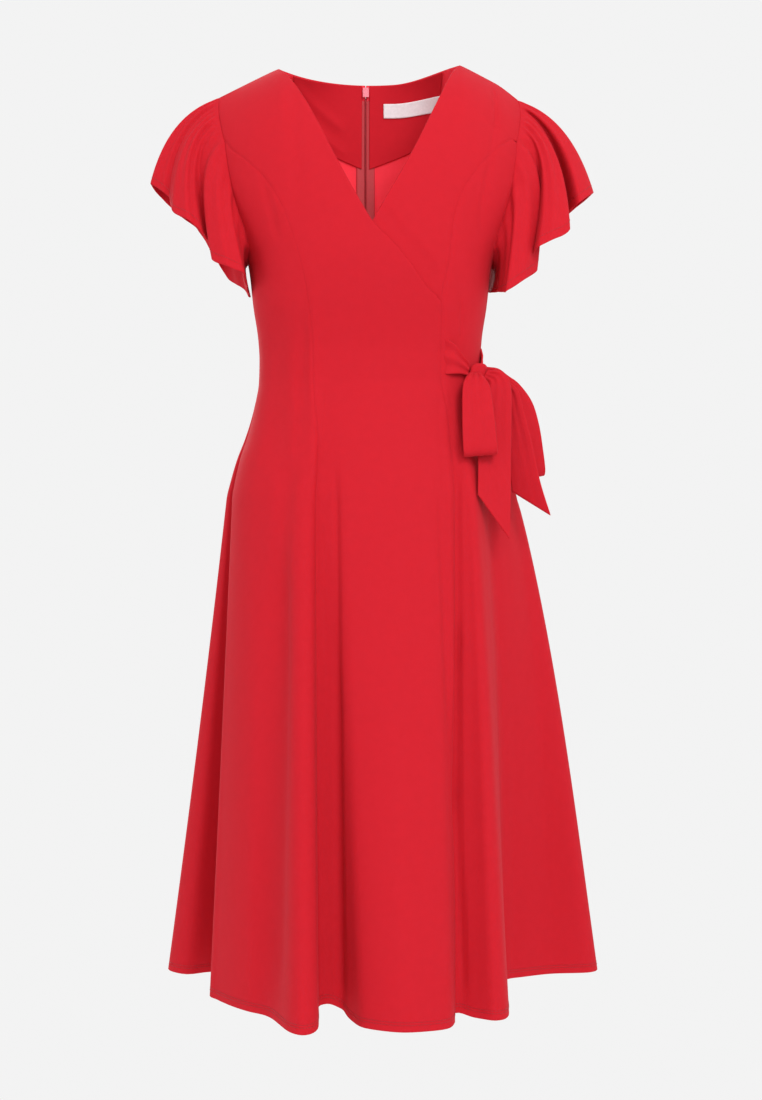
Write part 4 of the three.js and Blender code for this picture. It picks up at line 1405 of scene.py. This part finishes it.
@dataclass
class Flounce:
    """A short gathered sleeve that falls in cones from the armhole."""

    table: Table
    side: Side
    shape: DressShape
    seams: Seams
    reach: float = 52.0
    tight: float = 13.0
    fall: float = -0.54
    gap: float = 0.9
    spring: float = 0.42
    gathers: tuple[int, int] = (23, 14)
    gather_high: float = 1.25
    second_share: float = 0.7
    second_phase: float = 1.3
    gather_start: float = 0.16
    gather_fade: float = 0.6
    low_depth: float = 170.0
    columns: int = 330
    rows: int = 44
    thick: float = 1.5
    stitch_share: float = 0.955

    @property
    def node(self) -> str:
        """The CAD node that the sleeve replaces."""
        return f"sleeve_{self.side.name.lower()}"

    def arm_point(self, depth: Array) -> tuple[Array, Array]:
        """The armhole's edge and the cloth's normal there.

        Args:
            depth: distance below the shoulder, negative in front.

        Returns:
            Points and unit normals.
        """
        level = -np.abs(depth)
        back = 180.0 - self.seams.arm(level, "back")
        angle = np.where(depth < 0, self.seams.arm(level, "front"), back) * self.side.value
        return self.shape.point(angle, level), self.shape.normal(angle, level)

    def start(self, index: Array) -> tuple[Array, Array, Array]:
        """Where the flounce leaves the armhole, a little clear of the body of the dress.

        Args:
            index: row numbers of the table, with fractions.

        Returns:
            Points, normals and the depth of each on the armhole.
        """
        lap = -2.0 * self.shape.arm_level
        knots = np.append(self.table.column("from"), self.table.column("from")[0] + lap)
        count = len(knots) - 1
        whole = np.mod(index, count)
        depth = monotone(np.arange(count + 1, dtype=float), knots, whole)
        point, normal = self.arm_point(depth)
        after, _ = self.arm_point(np.minimum(depth + 1.0, -self.shape.arm_level))
        before, _ = self.arm_point(np.maximum(depth - 1.0, self.shape.arm_level))
        away = unit(np.cross(normal, after - before))
        wrong = away[..., 0] * self.side.value + 0.5 * away[..., 2] < 0
        away = np.where(wrong[..., None], -away, away)
        return point + away * self.gap, normal, depth

    def hem(self, index: Array) -> Array:
        """The flounce's lower edge, a closed spline through the table.

        Args:
            index: row numbers, with fractions.

        Returns:
            Points.
        """
        out, y, z = (self.table.along(name, index, True) for name in ("out", "y", "z"))
        return np.stack([self.side.value * out, y, z], axis=-1)

    def surface(self, index: Array, t: Array) -> Array:
        """A point of the flounce: a quadratic curve from the armhole over a knee to the hem.

        The knee lies straight out from the armhole, further at the shoulder than under the arm,
        and leans by a share of how far the hem there stands off its own smoothed line.

        Args:
            index: row numbers round the table.
            t: 0 at the armhole and 1 at the hem.

        Returns:
            Points.
        """
        point, _, depth = self.start(index)
        hem = self.hem(index)
        mean = sum(self.hem(index + k) for k in range(-3, 4)) / 7.0
        low = smooth(np.abs(depth) / self.low_depth)
        reach = self.reach + (self.tight - self.reach) * low
        knee = point + (hem - mean) * self.spring
        knee[..., 0] += self.side.value * reach
        knee[..., 2] += reach * self.fall * (1.0 - low)
        t = t[..., None]
        return point * (1 - t) ** 2 + knee * 2 * t * (1 - t) + hem * t * t

    def ripple(self, index: Array, t: Array) -> Array:
        """How far the gathers stand out: two sines round the flounce, fading to the hem.

        Args:
            index: row numbers round the table.
            t: 0 at the armhole and 1 at the hem.

        Returns:
            Heights above the smooth surface.
        """
        turn = 2.0 * np.pi * index / len(self.table.rows)
        first, second = self.gathers
        wave = self.second_share * np.sin(second * turn + self.second_phase)
        wave = np.sin(first * turn) + wave
        fade = smooth(t / self.gather_start) * (1.0 - self.gather_fade * t)
        return self.gather_high * wave * fade

    def make(self, finishes: Finishes, stitcher: DressBody) -> None:
        """Builds the flounce and its hem stitching.

        Args:
            finishes: the dress's materials.
            stitcher: what sews rows of stitches.
        """
        count = len(self.table.rows)
        index = np.arange(self.columns) * count / self.columns
        t = np.concatenate([[0.0, 0.008], np.linspace(0.0, 1.0, self.rows)[1:-1], [0.992, 1.0]])
        index, t = np.meshgrid(index, t)
        point = self.surface(index, t)
        around = self.surface(index + 0.06, t) - self.surface(index - 0.06, t)
        down = self.surface(index, np.minimum(t + 0.01, 1)) - self.surface(index, t - 0.01)
        inward = unit(np.cross(around, down)) * self.side.value
        inward[0] = -self.start(index[0])[1]
        point = point - inward * self.ripple(index, t)[..., None]
        wall = Wall(f"{self.node}_cloth", point, inward, self.thick, closed=True)
        wall.lay(Held.GATHERED, "crepe", self.node, finishes.crepe)
        level = np.full(self.columns, self.stitch_share)
        around_hem = self.surface(index[0], level)
        around_hem = around_hem - inward[-3] * self.ripple(index[0], level)[:, None]
        path = np.concatenate([around_hem, around_hem[:1]])
        out = np.concatenate([-inward[-3], -inward[-3][:1]])
        stitcher.stitches(f"{self.node}_hem_stitch", path, out, finishes.thread)


@dataclass
class Ribbon:
    """A strip of the tie, pressed flat, with pleats where the knot gathers it."""

    node: str
    table: Table
    slant: float = 0.0
    slant_from: float = 0.45
    thick: float = 2.0
    across: int = 28
    steps: int = 14
    pleats: float = 3.0
    pleat_high: float = 1.1
    gather: float = 2.2
    both_ends: bool = False
    held: Held = Held.HUNG

    def place(self, s: Array, t: Array) -> Array:
        """A point of the strip: along a spline, across by its width, lower towards a slant end.

        Args:
            s: from -0.5 to 0.5 across.
            t: row numbers along, with fractions.

        Returns:
            Points.
        """
        turn = np.radians(self.table.along("turn", t))
        lean = np.radians(self.table.along("lean", t))
        across = np.stack(
            [np.cos(turn) * np.cos(lean), -np.sin(turn) * np.cos(lean), np.sin(lean)], axis=-1
        )
        point = np.stack([self.table.along(name, t) for name in ("x", "y", "z")], axis=-1)
        point = point + across * (s * self.table.along("width", t))[..., None]
        last = len(self.table.rows) - 1
        drop = smooth((t / last - self.slant_from) / (1.0 - self.slant_from))
        point[..., 2] -= self.slant * s * drop
        return point

    def wall(self) -> Wall:
        """Works out the strip with its pleats: a sine across that fades away from the knot.

        Returns:
            The strip as a wall of cloth.
        """
        last = len(self.table.rows) - 1
        s = np.concatenate([[-0.5, -0.485], np.linspace(-0.5, 0.5, self.across + 1)[1:-1]])
        s = np.concatenate([s, [0.485, 0.5]])
        t = np.linspace(0.0, last, last * self.steps + 1)
        s, t = np.meshgrid(s, t)
        around = self.place(s + 0.01, t) - self.place(s - 0.01, t)
        onward = self.place(s, np.minimum(t + 0.01, last)) - self.place(s, np.maximum(t - 0.01, 0))
        inward = unit(np.cross(around, onward))
        fade = np.exp(-t / self.gather)
        if self.both_ends:
            fade = np.maximum(fade, np.exp(-(last - t) / self.gather))
        wave = np.cos(2 * np.pi * self.pleats * s) * self.pleat_high * fade * smooth(t * 2.0)
        if self.both_ends:
            wave = wave * smooth((last - t) * 2.0)
        point = self.place(s, t) - inward * (self.thick / 2 + wave)[..., None]
        return Wall(f"{self.node}_cloth", point, inward, self.thick, bulge=0.5)

    def make(self, finishes: Finishes) -> None:
        """Builds the strip.

        Args:
            finishes: the dress's materials.
        """
        self.wall().lay(self.held, "crepe", self.node, finishes.crepe)


@dataclass
class Knot:
    """The bow's knot: a soft cushion with the folds of the tie drawn round it."""

    x: float = 121.5
    y: float = -59.1
    z: float = -371.0
    wide: float = 11.0
    deep: float = 7.5
    high: float = 12.0
    lean: float = 0.25
    skew: float = 0.5
    folds: float = 3.0
    fold_deep: float = 0.07
    round_girth: float = 0.75
    round_ends: float = 0.6
    round_height: float = 0.8
    columns: int = 72
    rows: int = 48

    def make(self, finishes: Finishes) -> None:
        """Builds the knot: powers of cosines and sines, narrowed along slanting folds.

        Args:
            finishes: the dress's materials.
        """
        u = np.arange(self.columns) * 2 * np.pi / self.columns
        v = np.linspace(-np.pi / 2 + 0.02, np.pi / 2 - 0.02, self.rows)
        u, v = np.meshgrid(u, v)

        def soften(value: Array, power: float) -> Array:
            """Raises a signed value to a power."""
            return np.sign(value) * np.abs(value) ** power

        groove = 1.0 - self.fold_deep * (
            0.5 + 0.5 * np.cos(2 * np.pi * self.folds * (v / np.pi + 0.16 * np.sin(u)))
        ) * np.cos(v)
        ends = soften(np.cos(v), self.round_ends)
        x = self.wide * soften(np.cos(u), self.round_girth) * ends * groove
        y = self.deep * soften(np.sin(u), self.round_girth) * ends * groove
        z = self.high * soften(np.sin(v), self.round_height)
        points = np.stack(
            [self.x + x + self.lean * z, self.y + y + self.skew * x, self.z + z], axis=-1
        )
        number = np.arange(points[..., 0].size).reshape(u.shape)
        quads = net(number, closed=True)
        poles = points[0].mean(axis=0), points[-1].mean(axis=0)
        low, top = number[0], number[-1]
        pole = points[..., 0].size
        caps = [
            np.stack([np.roll(low, -2)[::2], np.roll(low, -1)[::2], low[::2],
                      np.full(len(low) // 2, pole)], axis=-1),
            np.stack([top[::2], np.roll(top, -1)[::2], np.roll(top, -2)[::2],
                      np.full(len(top) // 2, pole + 1)], axis=-1),
        ]
        flat = np.concatenate([points.reshape(-1, 3), np.array(poles)])
        obj = mesh_object("bow_knot", flat, np.concatenate([quads, *caps]), [finishes.crepe])
        adopt(obj, "crepe", "dress", "knot")


@dataclass
class BackOpening:
    """What shows inside the back neck: facings, label and the concealed zip's tapes and coil."""

    shape: DressShape = field(default_factory=DressShape)
    facing_edge: float = 5.0
    facing_far: float = 92.0
    facing_centre: float = -104.0
    facing_slope: tuple[float, float] = (0.42, 0.38)
    tape_from: float = 0.4
    tape_to: float = 11.2
    tooth_pitch: float = 1.35
    tooth_half: float = 1.3
    tooth_radius: float = 0.42
    tooth_under: float = 3.4
    tooth_slant: float = 0.35
    tooth_from: float = -16.0
    tape_top: float = -18.0
    facing_under: float = 2.9
    tape_under: float = 1.8
    tape_thick: float = 0.8
    label_under: float = 4.6
    thick: float = 1.0
    label_from: float = 23.0
    label_to: float = 98.0
    label_top: float = -22.0
    label_high: float = 17.0

    def sheet(
        self, name: str, side: Side, x: Array, level: Array, under: float, thick: float
    ) -> Wall:
        """A sheet that follows the inside of the back at a depth under its outer face.

        Args:
            name: the piece's name.
            side: the wearer's right or left.
            x: distances from the centre plane, rows by columns.
            level: heights, of the same shape.
            under: depth below the outer face of the dress.
            thick: the sheet's thickness.

        Returns:
            The sheet as a wall, its right side towards the inside of the dress.
        """
        angle = side.value * (180.0 - self.shape.angle_at(x, level))
        normal = self.shape.normal(angle, level)
        point = self.shape.point(angle, level)
        point = point - normal * (under + thick + creases(point, NECK_CREASES)[..., None])
        return Wall(name, point, normal, thick)

    def facing(self, side: Side) -> Wall:
        """The back neck facing of one side; its lower edge rises away from the zip.

        Args:
            side: the wearer's right or left.

        Returns:
            The facing as a wall.
        """
        share = np.concatenate([[0.0, 0.01], np.linspace(0, 1, 33)[1:-1], [0.99, 1.0]])
        x, t = np.meshgrid(self.facing_edge + (self.facing_far - self.facing_edge) * share, share)
        low = self.facing_centre + self.facing_slope[side is Side.LEFT] * x
        name = f"back_facing_{side.name.lower()}_cloth"
        return self.sheet(name, side, x, low * t, self.facing_under, self.thick)

    def tape(self, side: Side) -> Wall:
        """The zip tape of one side.

        Args:
            side: the wearer's right or left.

        Returns:
            The tape as a wall.
        """
        across = np.linspace(self.tape_from, self.tape_to, 7)
        down = np.linspace(self.tape_top, self.shape.zip_end, 120)
        x, level = np.meshgrid(across, down)
        name = f"zip_tape_{side.name.lower()}_cloth"
        return self.sheet(name, side, x, level, self.tape_under, self.tape_thick)

    def label(self) -> Wall:
        """The blank woven label on the wearer's left.

        Returns:
            The label as a wall.
        """
        across = np.linspace(self.label_from, self.label_to, 47)
        x, down = np.meshgrid(across, np.linspace(0.0, 1.0, 13))
        level = self.label_top - self.label_high * down
        return self.sheet("blank_label", Side.LEFT, x, level, self.label_under, self.thick)

    def coil(self, finish: Material) -> Piece:
        """The zip's coil: one small bar across the slit for each turn.

        Args:
            finish: the nylon's material.

        Returns:
            The coil as one piece.
        """
        level = np.arange(self.tooth_from, self.shape.zip_end, -self.tooth_pitch)
        back = np.full(level.shape, 180.0)
        side = self.shape.normal(back, level)
        centre = self.shape.point(back, level) - side * self.tooth_under
        half = np.array([self.tooth_half, 0.0, self.tooth_slant])
        return capsules("zip_coil", centre - half, centre + half, side, self.tooth_radius, finish)

    def make(self, finishes: Finishes) -> None:
        """Builds the inside of the back neck and the zip's coil.

        Args:
            finishes: the dress's materials.
        """
        for side in Side:
            word = side.name.lower()
            self.facing(side).lay(Held.LAID, "facing", f"back_facing_{word}", finishes.facing)
            self.tape(side).lay(Held.LAID, "zip_tape", f"zip_tape_{word}", finishes.tape)
        self.label().lay(Held.LAID, "label", "label", finishes.label)
        adopt(self.coil(finishes.coil), "zip_tape", "dress")


@dataclass(frozen=True)
class Lamp:
    """One soft area light: where it stands in metres, its side and its power in watts."""

    zone: Zone
    at: Triple
    size: float
    watts: float


@dataclass
class Studio:
    """A plain pale floor, soft lights and the camera of the photograph."""

    camera_at: Triple = (-0.1182, -2.1468, -0.5752)
    camera_turn: float = -3.5
    lens: float = 59.3
    floor_z: float = -1.9
    floor_half: float = 2.0
    pale: Triple = (0.90, 0.90, 0.90)
    floor_pale: Triple = (0.76, 0.76, 0.76)
    world_light: float = 0.995
    aim: Triple = (0.0, 0.0, -0.5)
    lamps: tuple[Lamp, ...] = (
        Lamp(Zone.KEY, (1.0, -2.2, 1.3), 0.9, 36.0),
        Lamp(Zone.FRONT, (0.2, -2.9, 0.2), 1.2, 19.0),
        Lamp(Zone.LEFT, (-2.7, -0.9, 0.0), 1.2, 10.0),
        Lamp(Zone.BACK, (-0.8, 2.5, 0.9), 1.2, 48.0),
    )

    def camera(self) -> None:
        """Puts the camera where the photograph was taken from."""
        data = bpy.data.cameras.new("camera")
        data.lens, data.sensor_width = self.lens, 36.0
        data.clip_start, data.clip_end = 0.05, 120.0
        obj = bpy.data.objects.new("camera", data)
        obj.location = self.camera_at
        obj.rotation_euler = (math.pi / 2, 0.0, math.radians(self.camera_turn))
        bpy.context.scene.collection.objects.link(obj)
        bpy.context.scene.camera = obj

    def light(self, lamp: Lamp) -> None:
        """Adds one light, turned towards the dress.

        Args:
            lamp: the light.
        """
        name = f"{lamp.zone.value}_light"
        data = bpy.data.lights.new(name, "AREA")
        data.size, data.energy = lamp.size, lamp.watts
        obj = bpy.data.objects.new(name, data)
        obj.location = lamp.at
        way = np.array(self.aim) - np.array(lamp.at)
        flat = math.hypot(way[0], way[1])
        obj.rotation_euler = (
            math.atan2(flat, -way[2]),
            0.0,
            math.atan2(way[1], way[0]) - math.pi / 2,
        )
        bpy.context.scene.collection.objects.link(obj)

    def floor(self) -> None:
        """Lays the floor, a plain pale square far enough below the dress to be clear of it."""
        edge = np.linspace(-self.floor_half, self.floor_half, 9) * 1000.0
        x, y = np.meshgrid(edge, edge)
        points = np.stack([x, y, np.full(x.shape, self.floor_z * 1000.0)], axis=-1)
        number = np.arange(x.size).reshape(x.shape)
        nodes = NodeTree("pale_floor")
        nodes.shader.inputs["Base Color"].default_value = (*self.floor_pale, 1.0)
        nodes.fix(Roughness=0.9, Specular_IOR_Level=0.1)
        floor = mesh_object("floor", points.reshape(-1, 3), net(number), [nodes.material])

    def world(self) -> None:
        """Sets an even pale surround."""
        world = bpy.data.worlds.new("surround")
        world.use_nodes = True
        back = world.node_tree.nodes["Background"]
        back.inputs["Color"].default_value = (*self.pale, 1.0)
        back.inputs["Strength"].default_value = self.world_light
        bpy.context.scene.world = world
        bpy.context.scene.view_settings.view_transform = "Standard"

    def make(self) -> None:
        """Builds the studio."""
        self.camera()
        self.world()
        self.floor()
        for lamp in self.lamps:
            self.light(lamp)


def dress_fittings(nodes: dict, finishes: Finishes) -> None:
    """Gives the zip's hard parts, which keep their solids, their enamel.

    Args:
        nodes: the frame's CAD objects by name.
        finishes: the dress's materials.
    """
    for name in ("zip_slider", "zip_bail", "zip_pull"):
        obj = nodes[name]
        for slot in obj.material_slots:
            slot.material = finishes.enamel
        LOG.info("%s: keeps its solid, enamelled", name)


def main() -> None:
    """Loads the frame and builds the dress, piece by piece."""
    logging.basicConfig(level=logging.INFO, format="%(name)s %(message)s")
    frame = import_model()
    Studio().make()
    finishes = Finishes.make()
    body = DressBody()
    body.make(finishes)
    for side, table in ((Side.RIGHT, FLOUNCE_RIGHT), (Side.LEFT, FLOUNCE_LEFT)):
        Flounce(table, side, body.shape, body.seams).make(finishes, body)
    bow = (
        Ribbon("tie_front", TIE_FRONT, gather=9.0, pleats=2.0, pleat_high=1.2),
        Ribbon("tie_side", TIE_SIDE, gather=9.0, pleat_high=0.5),
        Knot(),
        Ribbon("loop_front", LOOP_FRONT, both_ends=True, held=Held.FOLDED),
        Ribbon("loop_side", LOOP_SIDE, both_ends=True, held=Held.FOLDED),
        Ribbon("tail_front", TAIL_FRONT, slant=49.0),
        Ribbon("tail_side", TAIL_SIDE, slant=27.0),
    )
    for piece in bow:
        piece.make(finishes)
    BackOpening(body.shape).make(finishes)
    dress_fittings(frame["nodes"], finishes)


if __name__ == "__main__":
    main()
